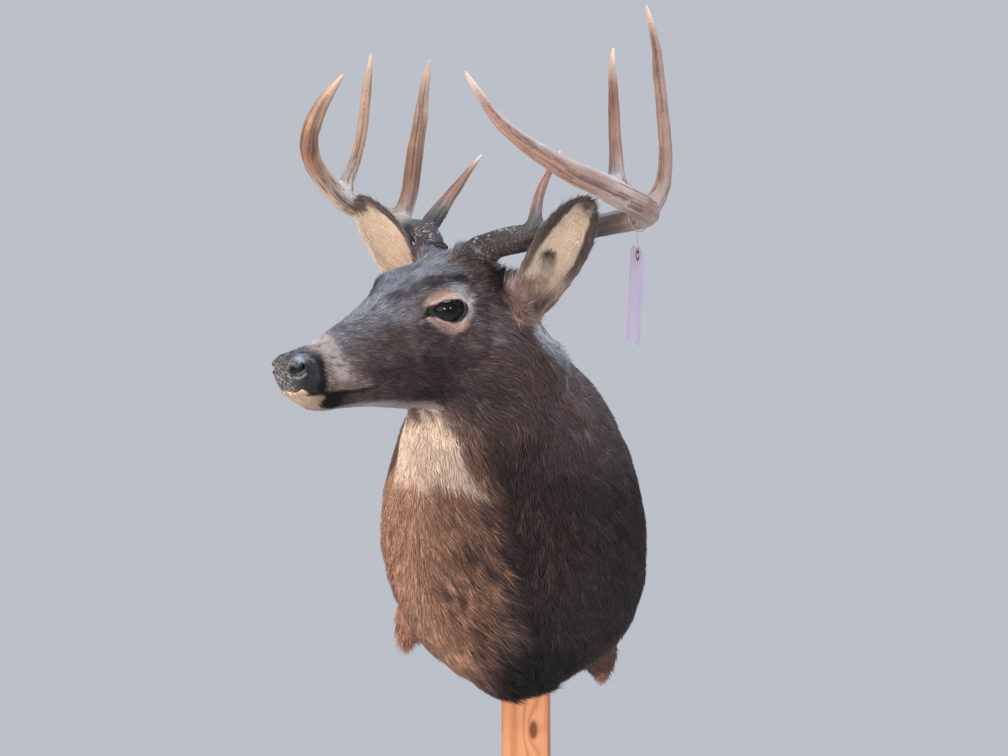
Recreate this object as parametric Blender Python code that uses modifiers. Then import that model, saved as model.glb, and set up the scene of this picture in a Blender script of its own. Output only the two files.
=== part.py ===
"""White-tailed deer shoulder mount on its board, life size.

Frame: metres, +Z up. The board's back lies on the wall plane Y = 0, the deer looks out along -Y,
and its head is turned to its own right, towards -X. The origin lies on the board's centre line, at
its back, level with about the middle of the panel. Head pieces are drawn in the head's own frame:
forward, left and up from the midpoint of the eyes.
"""

import math

import bmesh
import bpy
from mathutils import Matrix, Vector

MM = 0.001
GAP = 0.3 * MM  # clearance kept between neighbouring pieces

# Board and panel behind the deer
BOARD_WIDTH, BOARD_THICK = 63.5 * MM, 19 * MM
BOARD_TOP, BOARD_BOTTOM = 0.215, -0.325
PANEL_THICK = 18 * MM
PANEL_TOP, PANEL_BOTTOM, PANEL_HALF_WIDTH = 0.214, -0.190, 0.138

# Place of the head: midpoint between the eyes, then the turn, nod and tilt of the head
HEAD_CENTRE = Vector((-0.042, -0.402, 0.228))
HEAD_TURN, HEAD_NOD, HEAD_TILT = map(math.radians, (34.0, 14.0, -11.0))

EYE_CENTRE, EYE_RADIUS = Vector((-4, 46.5, -1)) * MM, 18.5 * MM

BODY_SIDES, BODY_RINGS = 34, 20
HEAD_SIDES, HEAD_RINGS = 26, 25
WALL_SIDE = -(BOARD_THICK + PANEL_THICK + 2 * GAP)

# Body sections from the wall to inside the head, in metres: the top point and the bottom point on the
# middle line, the half width, the turn in degrees, the height of the widest place as a share of the
# section, and the roundness above and below it (2 is an ellipse, more is squarer).
BODY_SECTIONS = (
    # top x, y, z              bottom x, y, z             half   turn waist  up   down
    ((-0.006, WALL_SIDE, 0.236), (0.004, WALL_SIDE, -0.186), 0.158, 0, 0.42, 1.9, 2.7),
    ((-0.006, -0.056, 0.246), (0.006, -0.056, -0.200), 0.172, 0, 0.42, 1.9, 2.6),
    ((-0.006, -0.088, 0.252), (0.010, -0.094, -0.216), 0.180, 0, 0.43, 1.9, 2.2),
    ((-0.004, -0.128, 0.250), (0.013, -0.142, -0.230), 0.178, 0, 0.44, 1.9, 1.75),
    ((0.000, -0.166, 0.246), (0.011, -0.190, -0.222), 0.163, 2, 0.46, 1.9, 1.6),
    ((0.006, -0.201, 0.244), (0.006, -0.231, -0.180), 0.146, 5, 0.47, 1.9, 1.65),
    ((0.012, -0.232, 0.244), (0.000, -0.261, -0.122), 0.132, 8, 0.48, 1.9, 1.75),
    ((0.019, -0.260, 0.247), (-0.006, -0.286, -0.058), 0.121, 12, 0.50, 1.9, 1.85),
    ((0.026, -0.288, 0.254), (-0.012, -0.307, 0.002), 0.113, 17, 0.51, 2.0, 1.95),
    ((0.026, -0.314, 0.262), (-0.020, -0.330, 0.050), 0.102, 23, 0.52, 2.0, 2.0),
    ((0.012, -0.340, 0.258), (-0.025, -0.351, 0.094), 0.082, 28, 0.52, 2.0, 2.0),
    ((-0.004, -0.362, 0.238), (-0.020, -0.362, 0.132), 0.050, 30, 0.52, 2.0, 2.0),
)

# Leg stumps under the shoulders: start inside the trunk and tip (x, y, z), half width and half depth
LEG_STUMPS = {
    "left": ((0.098, -0.090, -0.120), (0.114, -0.062, -0.212), 0.044, 0.026),
    "right": ((-0.105, -0.090, -0.080), (-0.158, -0.062, -0.166), 0.048, 0.026),
}

# Head sections from the nose back, in millimetres in the head's frame: forward and up of the top point,
# forward and up of the bottom point, half width, waist, roundness above and below.
HEAD_SECTIONS = (
    (202, -43, 201, -57, 12, 0.50, 2.2, 2.2),
    (198, -35, 197, -68, 21, 0.50, 2.6, 2.4),
    (192, -31, 190, -79, 25.5, 0.54, 2.8, 2.4),
    (184, -30, 181, -86, 26.5, 0.52, 2.5, 2.3),
    (174, -28, 172, -91, 27, 0.48, 2.3, 2.2),
    (158, -24, 156, -98, 28, 0.42, 2.1, 2.2),
    (132, -13, 128, -102, 30.5, 0.38, 2.0, 2.2),
    (106, -1, 98, -105, 35, 0.38, 2.0, 2.2),
    (82, 10, 68, -109, 42, 0.44, 2.1, 2.1),
    (58, 22, 40, -115, 49, 0.52, 2.3, 2.0),
    (34, 34, 14, -121, 55, 0.60, 2.6, 1.9),
    (8, 45, -10, -126, 58, 0.64, 2.8, 1.8),
    (-18, 54, -36, -129, 59, 0.63, 2.7, 1.8),
    (-45, 62, -60, -129, 60, 0.58, 2.4, 1.8),
    (-72, 66, -82, -124, 62, 0.55, 2.2, 1.9),
    (-98, 60, -102, -112, 62, 0.53, 2.1, 2.0),
    (-120, 44, -120, -92, 52, 0.50, 2.0, 2.0),
)

# Swellings (+) and hollows (-) of the head, mirrored to both sides:
# forward, left, up, radius and height in millimetres.
HEAD_FORMS = {
    "brow ridge": (13, 48, 32, 20, 11.0),
    "ear root": (-104, 58, 16, 27, 11.0),
    "temple hollow": (-34, 58, 16, 17, -4.0),
    "cheek bone": (22, 55, -26, 18, 3.5),
    "tear pit": (40, 47, 0, 11, -3.5),
    "jaw muscle": (-38, 50, -66, 30, 5.0),
    "muzzle side hollow": (112, 36, -42, 22, -3.0),
    "nostril wing": (193, 24, -46, 9, 2.5),
    "upper lip": (168, 27, -66, 13, 2.0),
}

# Outlines in the side view, in millimetres (forward, up): the neck is parted from the trunk in the
# world's frame, the jaw and the nose from the head in the head's frame
NECK_OUTLINE = ((60, 330), (285, -110), (650, -110), (650, 500), (60, 500))
JAW_OUTLINE = ((230, -79), (150, -83), (88, -80), (-20, -104), (-95, -118), (-95, -190), (230, -190))
NOSE_OUTLINE = ((183, 20), (181, -30), (169, -56), (183, -67), (230, -69), (230, 20))

# Ears: base and tip in the head's frame, the way the cup opens, then their shared profile along the
# length: share of the length, width laid flat, and half angle of the curl.
EARS = {
    "left": (Vector((-118, 67, -5)), Vector((-99, 190, 120)), Vector((0.83, 0.37, -0.43))),
    "right": (Vector((-89, -74, 0)), Vector((-66, -178, 126)), Vector((0.96, 0.22, -0.16))),
}
EAR_PROFILE = (
    (0.00, 80, 2.30),
    (0.12, 82, 1.90),
    (0.30, 82, 1.42),
    (0.50, 79, 1.10),
    (0.68, 71, 0.95),
    (0.82, 56, 0.85),
    (0.93, 36, 0.75),
    (1.00, 12, 0.60),
)
EAR_THICK, EAR_COLUMNS, EAR_ROWS = 5.5 * MM, 8, 11

# Antlers: each point is forward, left and up in the head's frame and the radius there, in millimetres
ANTLERS = {
    "left": {
        "beam": (
            (-58, 33, 46, 17), (-63, 40, 60, 18), (-80, 57, 69, 17), (-105, 80, 74, 16.5),
            (-134, 111, 80, 14.5), (-152, 162, 87, 14), (-162, 210, 96, 15), (-146, 233, 104, 15.5),
            (-98, 240, 121, 15.5), (-70, 233, 136, 14.5), (-42, 222, 149, 13), (-21, 207, 165, 11.5),
            (-4, 187, 184, 10), (5, 163, 205, 8), (7, 139, 230, 6), (7, 109, 265, 1.8),
        ),
        "brow_tine": (
            (-104, 86, 78, 11), (-114, 87, 92, 9.5), (-123, 82, 108, 7.6), (-137, 76, 126, 6.2),
            (-153, 71, 142, 4.7), (-181, 70, 174, 1.6),
        ),
        "second_tine": (
            (-163, 215, 98, 14), (-175, 223, 115, 11.5), (-184, 227, 133, 9.2), (-192, 225, 169, 8.2),
            (-197, 218, 209, 7.7), (-201, 211, 249, 7.5), (-207, 202, 295, 5.6), (-208, 189, 336, 1.6),
        ),
        "third_tine": (
            (-92, 237, 128, 13), (-97, 233, 146, 10), (-100, 231, 164, 8.2), (-106, 225, 194, 7.2),
            (-113, 219, 232, 6.4), (-118, 214, 256, 5), (-125, 210, 284, 1.6),
        ),
    },
    "right": {
        "beam": (
            (-56, -34, 48, 17), (-60, -41, 64, 18), (-75, -58, 74, 17), (-95, -88, 80, 16.5),
            (-122, -136, 83, 14.5), (-147, -182, 85, 14), (-160, -216, 92, 15), (-140, -238, 103, 15.5),
            (-95, -240, 123, 15.5), (-66, -237, 145, 14), (-38, -228, 170, 12.8), (-18, -211, 196, 12.2),
            (-5, -186, 218, 11.4), (2, -158, 240, 9.5), (5, -133, 257, 6.5), (4, -107, 276, 1.8),
        ),
        "brow_tine": (
            (-94, -84, 80, 12), (-104, -85, 92, 11.5), (-118, -83, 107, 10.4), (-132, -82, 121, 8.4),
            (-152, -77, 142, 6.6), (-167, -74, 158, 4.5), (-181, -68, 174, 1.6),
        ),
        "second_tine": (
            (-161, -214, 92, 14), (-171, -211, 108, 12.5), (-178, -206, 130, 11.6), (-188, -204, 178, 11.8),
            (-199, -200, 228, 9.5), (-203, -196, 260, 7.4), (-206, -192, 282, 5.4), (-206, -185, 302, 1.6),
        ),
        "third_tine": (
            (-92, -238, 130, 13), (-98, -237, 150, 10), (-108, -234, 170, 8.2), (-118, -226, 210, 7.8),
            (-123, -220, 258, 7.2), (-127, -216, 287, 4.6), (-127, -209, 311, 1.6),
        ),
    },
}
BEAM_CUTS = (0.43, 0.54)  # just past the main forks, as shares of the beam's length
BURR_RADIUS, BURR_TUBE, BURR_SIDES = 18 * MM, 5.5 * MM, 14
ANTLER_STEPS, TINE_STEPS, ANTLER_BEVEL = 30, 11, 2

# The paper tag under the left beam, on its string: where the string goes round the beam as a share of
# the beam's length, the height of the string from the beam to the tag's hole, the tag's size, the turn
# of its face about the upright and its lean.
STRING_SHARE, STRING_DROP, STRING_RADIUS = 0.39, 30 * MM, 0.6 * MM
TAG_WIDTH, TAG_LENGTH, TAG_THICK, TAG_CORNER = 54 * MM, 108 * MM, 0.6 * MM, 11 * MM
TAG_HOLE_RADIUS, TAG_HOLE_DROP = 3 * MM, 9 * MM
TAG_TURN, TAG_LEAN = math.radians(81), math.radians(4)
STRING_TURN_STEPS = 32

COAT_BROWN = (0.16, 0.105, 0.075)
COLOURS = {
    "coat": (COAT_BROWN, 0.85),
    "coat pale": ((0.55, 0.45, 0.34), 0.85),
    "nose": ((0.02, 0.02, 0.022), 0.4),
    "eye": ((0.008, 0.006, 0.005), 0.04),
    "antler": ((0.38, 0.27, 0.19), 0.5),
    "pine": ((0.62, 0.34, 0.17), 0.55),
    "plywood": ((0.48, 0.33, 0.19), 0.7),
    "paper": ((0.72, 0.66, 0.70), 0.8),
    "string": ((0.72, 0.62, 0.50), 0.9),
}


def clear_scene():
    for obj in list(bpy.data.objects):
        bpy.data.objects.remove(obj)


def new_collection(name, hidden=False):
    collection = bpy.data.collections.new(name)
    collection.hide_render = hidden
    bpy.context.scene.collection.children.link(collection)
    return collection


def material(name):
    found = bpy.data.materials.get(name)
    if found:
        return found
    (red, green, blue), roughness = COLOURS[name]
    made = bpy.data.materials.new(name)
    made.use_nodes = True
    shader = made.node_tree.nodes["Principled BSDF"]
    shader.inputs["Base Color"].default_value = (red, green, blue, 1)
    shader.inputs["Roughness"].default_value = roughness
    return made


def head_frame():
    """Matrix from the head's frame (forward, left, up, in metres) to the world."""
    forward = Vector((-math.sin(HEAD_TURN), -math.cos(HEAD_TURN), 0))
    up = Vector((0, 0, 1))
    left = up.cross(forward)
    nodded = forward * math.cos(HEAD_NOD) - up * math.sin(HEAD_NOD)
    crown = up * math.cos(HEAD_NOD) + forward * math.sin(HEAD_NOD)
    tilted = left * math.cos(HEAD_TILT) + crown * math.sin(HEAD_TILT)
    crown = crown * math.cos(HEAD_TILT) - left * math.sin(HEAD_TILT)
    frame = Matrix((nodded, tilted, crown)).transposed().to_4x4()
    frame.translation = HEAD_CENTRE
    return frame


def smooth_rows(rows, count):
    """Rows of numbers read at `count` even steps along the smooth curve through the given rows."""
    made = []
    for step in range(count):
        place = step * (len(rows) - 1) / (count - 1)
        i = min(int(place), len(rows) - 2)
        t = place - i
        before, a, b, after = (rows[min(max(i + k, 0), len(rows) - 1)] for k in (-1, 0, 1, 2))
        made.append(tuple(
            0.5 * (2 * q + (r - p) * t + (2 * p - 5 * q + 4 * r - s) * t**2 + (3 * q - p - 3 * r + s) * t**3)
            for p, q, r, s in zip(before, a, b, after)
        ))
    return made


def section_ring(top, bottom, lateral, half_width, waist, round_up, round_down, sides):
    """A closed section, from its top point round by its left side. It is widest at `waist`."""
    centre = bottom + (top - bottom) * waist
    ring = []
    for k in range(sides):
        angle = 2 * math.pi * k / sides
        rise, side = math.cos(angle), math.sin(angle)
        power = 2 / (round_up if rise >= 0 else round_down)
        end = top if rise >= 0 else bottom
        ring.append(
            centre
            + (end - centre) * abs(rise) ** power
            + lateral * (half_width * math.copysign(abs(side) ** power, side))
        )
    return ring


def loft(name, rings, collection, look):
    """A closed solid through rings of equal count, its ends closed by fans."""
    mesh = bpy.data.meshes.new(name)
    body = bmesh.new()
    rows = [[body.verts.new(point) for point in ring] for ring in rings]
    count = len(rows[0])
    for near, far in zip(rows, rows[1:]):
        for k in range(count):
            body.faces.new((near[k], near[(k + 1) % count], far[(k + 1) % count], far[k]))
    for row in (rows[0], rows[-1]):
        middle = body.verts.new(sum((v.co for v in row), Vector()) / count)
        for k in range(count):
            body.faces.new((row[k], row[(k + 1) % count], middle))
    bmesh.ops.recalc_face_normals(body, faces=body.faces)
    if body.calc_volume(signed=True) < 0:
        bmesh.ops.reverse_faces(body, faces=body.faces)
    bmesh.ops.triangulate(body, faces=body.faces)
    body.to_mesh(mesh)
    body.free()
    mesh.shade_smooth()
    return add_object(name, mesh, collection, look)


def add_object(name, mesh, collection, look):
    obj = bpy.data.objects.new(name, mesh)
    collection.objects.link(obj)
    if look:
        mesh.materials.append(material(look))
    return obj


def baked(obj):
    """Turns the object into the plain mesh that its curve and modifiers give, and welds its caps."""
    bpy.context.view_layer.update()
    graph = bpy.context.evaluated_depsgraph_get()
    mesh = bpy.data.meshes.new_from_object(obj.evaluated_get(graph))
    body = bmesh.new()
    body.from_mesh(mesh)
    bmesh.ops.remove_doubles(body, verts=body.verts, dist=1e-6)
    bmesh.ops.triangulate(body, faces=body.faces)
    body.to_mesh(mesh)
    body.free()
    name, world, homes = obj.name, obj.matrix_world.copy(), list(obj.users_collection)
    bpy.data.objects.remove(obj)
    made = bpy.data.objects.new(name, mesh)
    made.matrix_world = world
    for home in homes:
        home.objects.link(made)
    return made


def cutter_of(obj, name, grow=GAP):
    """A copy of a piece, grown by the gap, that shapes its neighbours."""
    copy = bpy.data.objects.new(name, obj.data.copy())
    copy.matrix_world = obj.matrix_world
    CUTTERS.objects.link(copy)
    body = bmesh.new()
    body.from_mesh(copy.data)
    body.normal_update()
    for vert in body.verts:
        vert.co += vert.normal * grow
    body.to_mesh(copy.data)
    body.free()
    return hide(copy)


def hide(obj):
    obj.hide_render = True
    obj.display_type = "WIRE"
    return obj


def boolean(obj, other, operation):
    """Applies one exact Boolean and returns the plain object."""
    cut = obj.modifiers.new("shape", "BOOLEAN")
    cut.object, cut.operation, cut.solver = other, operation, "EXACT"
    return baked(obj)


def prism(name, outline, half_depth, frame, grow=0.0):
    """A helper prism: an outline in the head's side view, grown by `grow`, across the whole head."""
    count = len(outline)
    points = [Vector(p) * MM for p in outline]
    turn = sum(points[i].x * points[i - 1].y - points[i - 1].x * points[i].y for i in range(count))
    spread = []
    for i in range(count):
        before = (points[i] - points[i - 1]).normalized()
        after = (points[(i + 1) % count] - points[i]).normalized()
        out = Vector((before.y + after.y, -before.x - after.x)).normalized() * math.copysign(1, -turn)
        spread.append(points[i] + out * grow / max(0.3, math.sqrt((1 + before.dot(after)) / 2)))
    rings = [[frame @ Vector((p.x, side, p.y)) for p in spread] for side in (-half_depth, half_depth)]
    return hide(loft(name, rings, CUTTERS, None))


def build_body():
    """Trunk, shoulders and neck as one smooth form, parted by a slanted cut at the neck's root."""
    rows = [top + bottom + tuple(rest) for top, bottom, *rest in BODY_SECTIONS]
    rings = []
    for tx, ty, tz, bx, by, bz, half, turn, waist, up, down in smooth_rows(rows, BODY_RINGS):
        angle = math.radians(turn)
        lateral = Vector((math.cos(angle), -math.sin(angle), 0))
        top, bottom = Vector((tx, min(ty, WALL_SIDE), tz)), Vector((bx, min(by, WALL_SIDE), bz))
        rings.append(section_ring(top, bottom, lateral, half, waist, up, down, BODY_SIDES))
    return loft("trunk", rings, MOUNT, "coat")


def build_head(frame):
    """The whole head as one form: sections from the nose to the poll, then its swellings and hollows."""
    rings = []
    for ta, th, ba, bh, half, waist, up, down in smooth_rows(HEAD_SECTIONS, HEAD_RINGS):
        top, bottom = Vector((ta, 0, th)) * MM, Vector((ba, 0, bh)) * MM
        rings.append(section_ring(top, bottom, Vector((0, 1, 0)), half * MM, waist, up, down, HEAD_SIDES))
    head = loft("head", rings, MOUNT, "coat")
    body = bmesh.new()
    body.from_mesh(head.data)
    body.normal_update()
    for vert in body.verts:
        move = 0.0
        for forward, left, up, radius, height in HEAD_FORMS.values():
            for side in (-1, 1):
                away = (vert.co - Vector((forward, side * left, up)) * MM).length / (radius * MM)
                move += height * MM * math.exp(-away * away)
        vert.co += vert.normal * move
    body.to_mesh(head.data)
    body.free()
    head.data.transform(frame)
    return head


def build_eye(side, frame):
    """The glass eye, a ball seated in its socket."""
    sign = 1 if side == "left" else -1
    mesh = bpy.data.meshes.new(f"eye_{side}")
    ball = bmesh.new()
    bmesh.ops.create_uvsphere(ball, u_segments=14, v_segments=8, radius=EYE_RADIUS)
    ball.to_mesh(mesh)
    ball.free()
    mesh.shade_smooth()
    eye = add_object(f"eye_{side}", mesh, MOUNT, "eye")
    eye.matrix_world = Matrix.Translation(frame @ (EYE_CENTRE * Vector((1, sign, 1))))
    return baked(eye)


def build_ear(side, frame):
    """An ear: a leaf-shaped sheet curled into a cup, rolled at its base, and thickened."""
    base, tip, opening = EARS[side]
    base, tip = base * MM, tip * MM
    axis = (tip - base).normalized()
    opening = (opening - axis * opening.dot(axis)).normalized()
    across = axis.cross(opening)
    mesh = bpy.data.meshes.new(f"ear_{side}")
    sheet = bmesh.new()
    grid = []
    for share, width, curl in smooth_rows(EAR_PROFILE, EAR_ROWS):
        radius = width * MM / (2 * curl)
        lean = opening * (-0.012 * math.sin(math.pi * share))
        row = []
        for k in range(EAR_COLUMNS + 1):
            angle = curl * (2 * k / EAR_COLUMNS - 1)
            point = base.lerp(tip, share) + lean + across * radius * math.sin(angle)
            row.append(sheet.verts.new(point + opening * radius * (1 - math.cos(angle))))
        grid.append(row)
    for near, far in zip(grid, grid[1:]):
        for k in range(EAR_COLUMNS):
            sheet.faces.new((near[k], near[k + 1], far[k + 1], far[k]))
    sheet.to_mesh(mesh)
    sheet.free()
    mesh.transform(frame)
    mesh.shade_smooth()
    ear = add_object(f"ear_{side}", mesh, MOUNT, "coat")
    wall = ear.modifiers.new("thickness", "SOLIDIFY")
    wall.thickness, wall.offset = EAR_THICK, 0
    return baked(ear)


def tapered_tube(name, path, frame, steps):
    """A round bar along the smooth curve through `path`, whose points hold the radius too."""
    rows = smooth_rows(path, steps + 1)
    curve = bpy.data.curves.new(name, "CURVE")
    curve.dimensions = "3D"
    curve.bevel_depth, curve.bevel_resolution = 1.0 * MM, ANTLER_BEVEL
    curve.use_fill_caps = True
    line = curve.splines.new("POLY")
    line.points.add(len(rows) - 1)
    for point, (forward, left, up, radius) in zip(line.points, rows):
        point.co = (*(frame @ (Vector((forward, left, up)) * MM)), 1)
        point.radius = radius
    tube = bpy.data.objects.new(name, curve)
    MOUNT.objects.link(tube)
    tube = baked(tube)
    tube.data.shade_smooth()
    tube.data.materials.clear()
    tube.data.materials.append(material("antler"))
    return tube


def thin_cut(obj, place, direction, width):
    """Cuts the object right through with a thin square plate."""
    mesh = bpy.data.meshes.new("thin_cut")
    plate = bmesh.new()
    bmesh.ops.create_cube(plate, size=1.0)
    plate.to_mesh(mesh)
    plate.free()
    cutter = hide(add_object("thin_cut", mesh, CUTTERS, None))
    turn = direction.to_track_quat("Z", "Y").to_matrix().to_4x4()
    cutter.matrix_world = Matrix.Translation(place) @ turn @ Matrix.Diagonal((width, width, GAP, 1))
    return boolean(obj, cutter, "DIFFERENCE")


def nearest_index(path, place):
    return min(range(len(path)), key=lambda i: (path[i] - place).length)


def split_loose(obj, names, path):
    """Makes one object of each loose piece, named in the order that they come along `path`."""
    body = bmesh.new()
    body.from_mesh(obj.data)
    left, pieces = set(body.verts), []
    while left:
        piece, edge = set(), [left.pop()]
        while edge:
            vert = edge.pop()
            piece.add(vert)
            near = {e.other_vert(vert) for e in vert.link_edges} & left
            left -= near
            edge.extend(near)
        pieces.append(piece)
    pieces.sort(key=lambda piece: min(nearest_index(path, vert.co) for vert in piece))
    made = []
    for name, piece in zip(names, pieces):
        kept = {vert.index for vert in piece}
        copy = bmesh.new()
        copy.from_mesh(obj.data)
        bmesh.ops.delete(copy, geom=[v for v in copy.verts if v.index not in kept], context="VERTS")
        mesh = bpy.data.meshes.new(name)
        copy.to_mesh(mesh)
        copy.free()
        mesh.materials.append(obj.data.materials[0])
        made.append(add_object(name, mesh, MOUNT, None))
    body.free()
    bpy.data.objects.remove(obj)
    return made


def build_antler(side, frame, head):
    """One antler: the beam in three lengths, parted at its main forks, and three tines."""
    paths = ANTLERS[side]
    name = f"antler_{side}_"
    beam = tapered_tube(name + "beam", paths["beam"], frame, ANTLER_STEPS)
    cutter = cutter_of(beam, name + "beam_cutter")
    beam = boolean(beam, build_burr(side, frame), "UNION")
    beam = boolean(beam, head, "DIFFERENCE")
    rows = smooth_rows(paths["beam"], ANTLER_STEPS + 1)
    points = [frame @ (Vector(row[:3]) * MM) for row in rows]
    for share in BEAM_CUTS:
        at = round(share * ANTLER_STEPS)
        middle = (points[at] + points[at + 1]) / 2
        beam = thin_cut(beam, middle, (points[at + 1] - points[at]).normalized(), 60 * MM)
    parts = [name + part for part in ("beam_base", "beam_middle", "beam_tip")]
    split_loose(beam, parts, points)
    for part in ("brow_tine", "second_tine", "third_tine"):
        tine = tapered_tube(name + part, paths[part], frame, TINE_STEPS)
        boolean(tine, cutter, "DIFFERENCE")


def build_burr(side, frame):
    """The rough ring round the foot of the beam, as a torus."""
    foot, after = (Vector(row[:3]) * MM for row in ANTLERS[side]["beam"][:2])
    turn = (after - foot).to_track_quat("Z", "Y").to_matrix().to_4x4()
    mesh = bpy.data.meshes.new(f"burr_{side}")
    body = bmesh.new()
    rows = []
    for i in range(BURR_SIDES):
        around = 2 * math.pi * i / BURR_SIDES
        out = Vector((math.cos(around), math.sin(around), 0))
        row = []
        for k in range(6):
            angle = 2 * math.pi * k / 6
            reach = BURR_RADIUS + BURR_TUBE * math.cos(angle)
            row.append(body.verts.new(out * reach + Vector((0, 0, BURR_TUBE * math.sin(angle)))))
        rows.append(row)
    for i in range(BURR_SIDES):
        near, far = rows[i], rows[(i + 1) % BURR_SIDES]
        for k in range(6):
            body.faces.new((near[k], far[k], far[(k + 1) % 6], near[(k + 1) % 6]))
    bmesh.ops.recalc_face_normals(body, faces=body.faces)
    body.to_mesh(mesh)
    body.free()
    mesh.transform(frame @ Matrix.Translation(after) @ turn)
    return hide(add_object(f"burr_{side}", mesh, CUTTERS, "antler"))


def build_board():
    """The pine board that hangs on the wall, and the oval panel that carries the deer."""
    mesh = bpy.data.meshes.new("hanging_board")
    box = bmesh.new()
    bmesh.ops.create_cube(box, size=1.0)
    box.to_mesh(mesh)
    box.free()
    height = BOARD_TOP - BOARD_BOTTOM
    middle = Vector((0, -BOARD_THICK / 2, (BOARD_TOP + BOARD_BOTTOM) / 2))
    mesh.transform(Matrix.Translation(middle) @ Matrix.Diagonal((BOARD_WIDTH, BOARD_THICK, height, 1)))
    add_object("hanging_board", mesh, MOUNT, "pine")
    rings = []
    for y in (-BOARD_THICK - GAP, -BOARD_THICK - GAP - PANEL_THICK):
        top, bottom = Vector((0, y, PANEL_TOP)), Vector((0, y, PANEL_BOTTOM))
        rings.append(section_ring(top, bottom, Vector((1, 0, 0)), PANEL_HALF_WIDTH, 0.45, 2.1, 2.4, 40))
    loft("back_panel", rings, MOUNT, "plywood").data.shade_flat()


def build_leg_stump(side, trunk):
    """The short stump of skin under a shoulder, tapering from inside the trunk to its tip."""
    start, tip, half_width, half_depth = LEG_STUMPS[side]
    start, tip = Vector(start), Vector(tip)
    rings = []
    for share in (0.0, 0.3, 0.55, 0.75, 0.9, 1.0):
        middle = start.lerp(tip, share)
        size = 1.0 - 0.82 * share ** 2.2
        ring = []
        for k in range(16):
            angle = 2 * math.pi * k / 16
            spoke = Vector((half_width * math.cos(angle), half_depth * math.sin(angle), 0))
            ring.append(middle + spoke * size)
        rings.append(ring)
    boolean(loft(f"leg_stump_{side}", rings, MOUNT, "coat pale"), trunk, "DIFFERENCE")


def string_places(frame):
    """The places along the tag's string, round the left beam and down through the hole, and the hole."""
    rows = smooth_rows(ANTLERS["left"]["beam"], 101)
    row, after = rows[round(STRING_SHARE * 100)], rows[round(STRING_SHARE * 100) + 1]
    centre, along = frame @ (Vector(row[:3]) * MM), frame.to_3x3() @ (Vector(after[:3]) - Vector(row[:3]))
    down = Vector((0, 0, -1)) - along * (-along.z / along.length_squared)
    down.normalize()
    across = along.cross(down).normalized()
    reach = row[3] * MM + STRING_RADIUS + 1.2 * MM
    points = []
    for k in range(STRING_TURN_STEPS + 1):
        angle = 2 * math.pi * k / STRING_TURN_STEPS - 0.25
        offset = along.normalized() * (3 * MM * k / STRING_TURN_STEPS)
        points.append(centre + (down * math.cos(angle) + across * math.sin(angle)) * reach + offset)
    foot = points[-1]
    hole = foot + Vector((0, 0, -STRING_DROP))
    face = Vector((math.sin(TAG_TURN), -math.cos(TAG_TURN), 0))
    points += [
        foot.lerp(hole, 0.25), foot.lerp(hole, 0.42), hole + Vector((0, 0, 15 * MM)),
        hole + face * 2.4 * MM + Vector((0, 0, 9 * MM)), hole + face * 2.6 * MM + Vector((0, 0, 3 * MM)),
        hole + face * 1.6 * MM, hole, hole - face * 1.6 * MM,
        hole - face * 2.6 * MM + Vector((0, 0, 3 * MM)), hole - face * 2.2 * MM + Vector((0, 0, 6 * MM)),
    ]
    return points, hole


def build_string(points):
    """The string that holds the tag, as a round bar through the given places."""
    curve = bpy.data.curves.new("tag_string", "CURVE")
    curve.dimensions = "3D"
    curve.bevel_depth, curve.bevel_resolution = STRING_RADIUS, 2
    curve.use_fill_caps = True
    line = curve.splines.new("POLY")
    line.points.add(len(points) - 1)
    for spot, point in zip(line.points, points):
        spot.co = (*point, 1)
    string = bpy.data.objects.new("tag_string", curve)
    MOUNT.objects.link(string)
    string = baked(string)
    string.data.materials.clear()
    string.data.materials.append(material("string"))


def build_tag(hole):
    """The paper tag that hangs from the left beam, with clipped upper corners and a round hole."""
    wide, top, cut = TAG_WIDTH / 2, TAG_HOLE_DROP, TAG_CORNER
    outline = (
        (-wide, top - cut), (-wide + cut, top), (wide - cut, top), (wide, top - cut),
        (wide, top - TAG_LENGTH), (-wide, top - TAG_LENGTH),
    )
    lean = Matrix.Rotation(TAG_LEAN, 4, "X")
    place = Matrix.Translation(hole) @ Matrix.Rotation(TAG_TURN, 4, "Z") @ lean
    rings = [[place @ Vector((x, y, z)) for x, z in outline] for y in (-TAG_THICK / 2, TAG_THICK / 2)]
    tag = loft("tag", rings, MOUNT, "paper")
    mesh = bpy.data.meshes.new("tag_hole")
    drill = bmesh.new()
    bmesh.ops.create_cone(
        drill, cap_ends=True, segments=12, radius1=TAG_HOLE_RADIUS, radius2=TAG_HOLE_RADIUS, depth=0.01
    )
    drill.to_mesh(mesh)
    drill.free()
    mesh.transform(place @ Matrix.Rotation(math.pi / 2, 4, "X"))
    boolean(tag, hide(add_object("tag_hole", mesh, CUTTERS, None)), "DIFFERENCE").data.shade_flat()


def part_with(whole, name, outline, half_depth, frame, look):
    """Parts off `name`: what lies inside the outline. The rest keeps clear of it by the gap."""
    part = add_object(name, whole.data.copy(), MOUNT, None)
    part = boolean(part, prism(f"{name}_space", outline, half_depth, frame), "INTERSECT")
    part.data.materials.clear()
    part.data.materials.append(material(look))
    return boolean(whole, prism(f"{name}_space_grown", outline, half_depth, frame, GAP), "DIFFERENCE")


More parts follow.
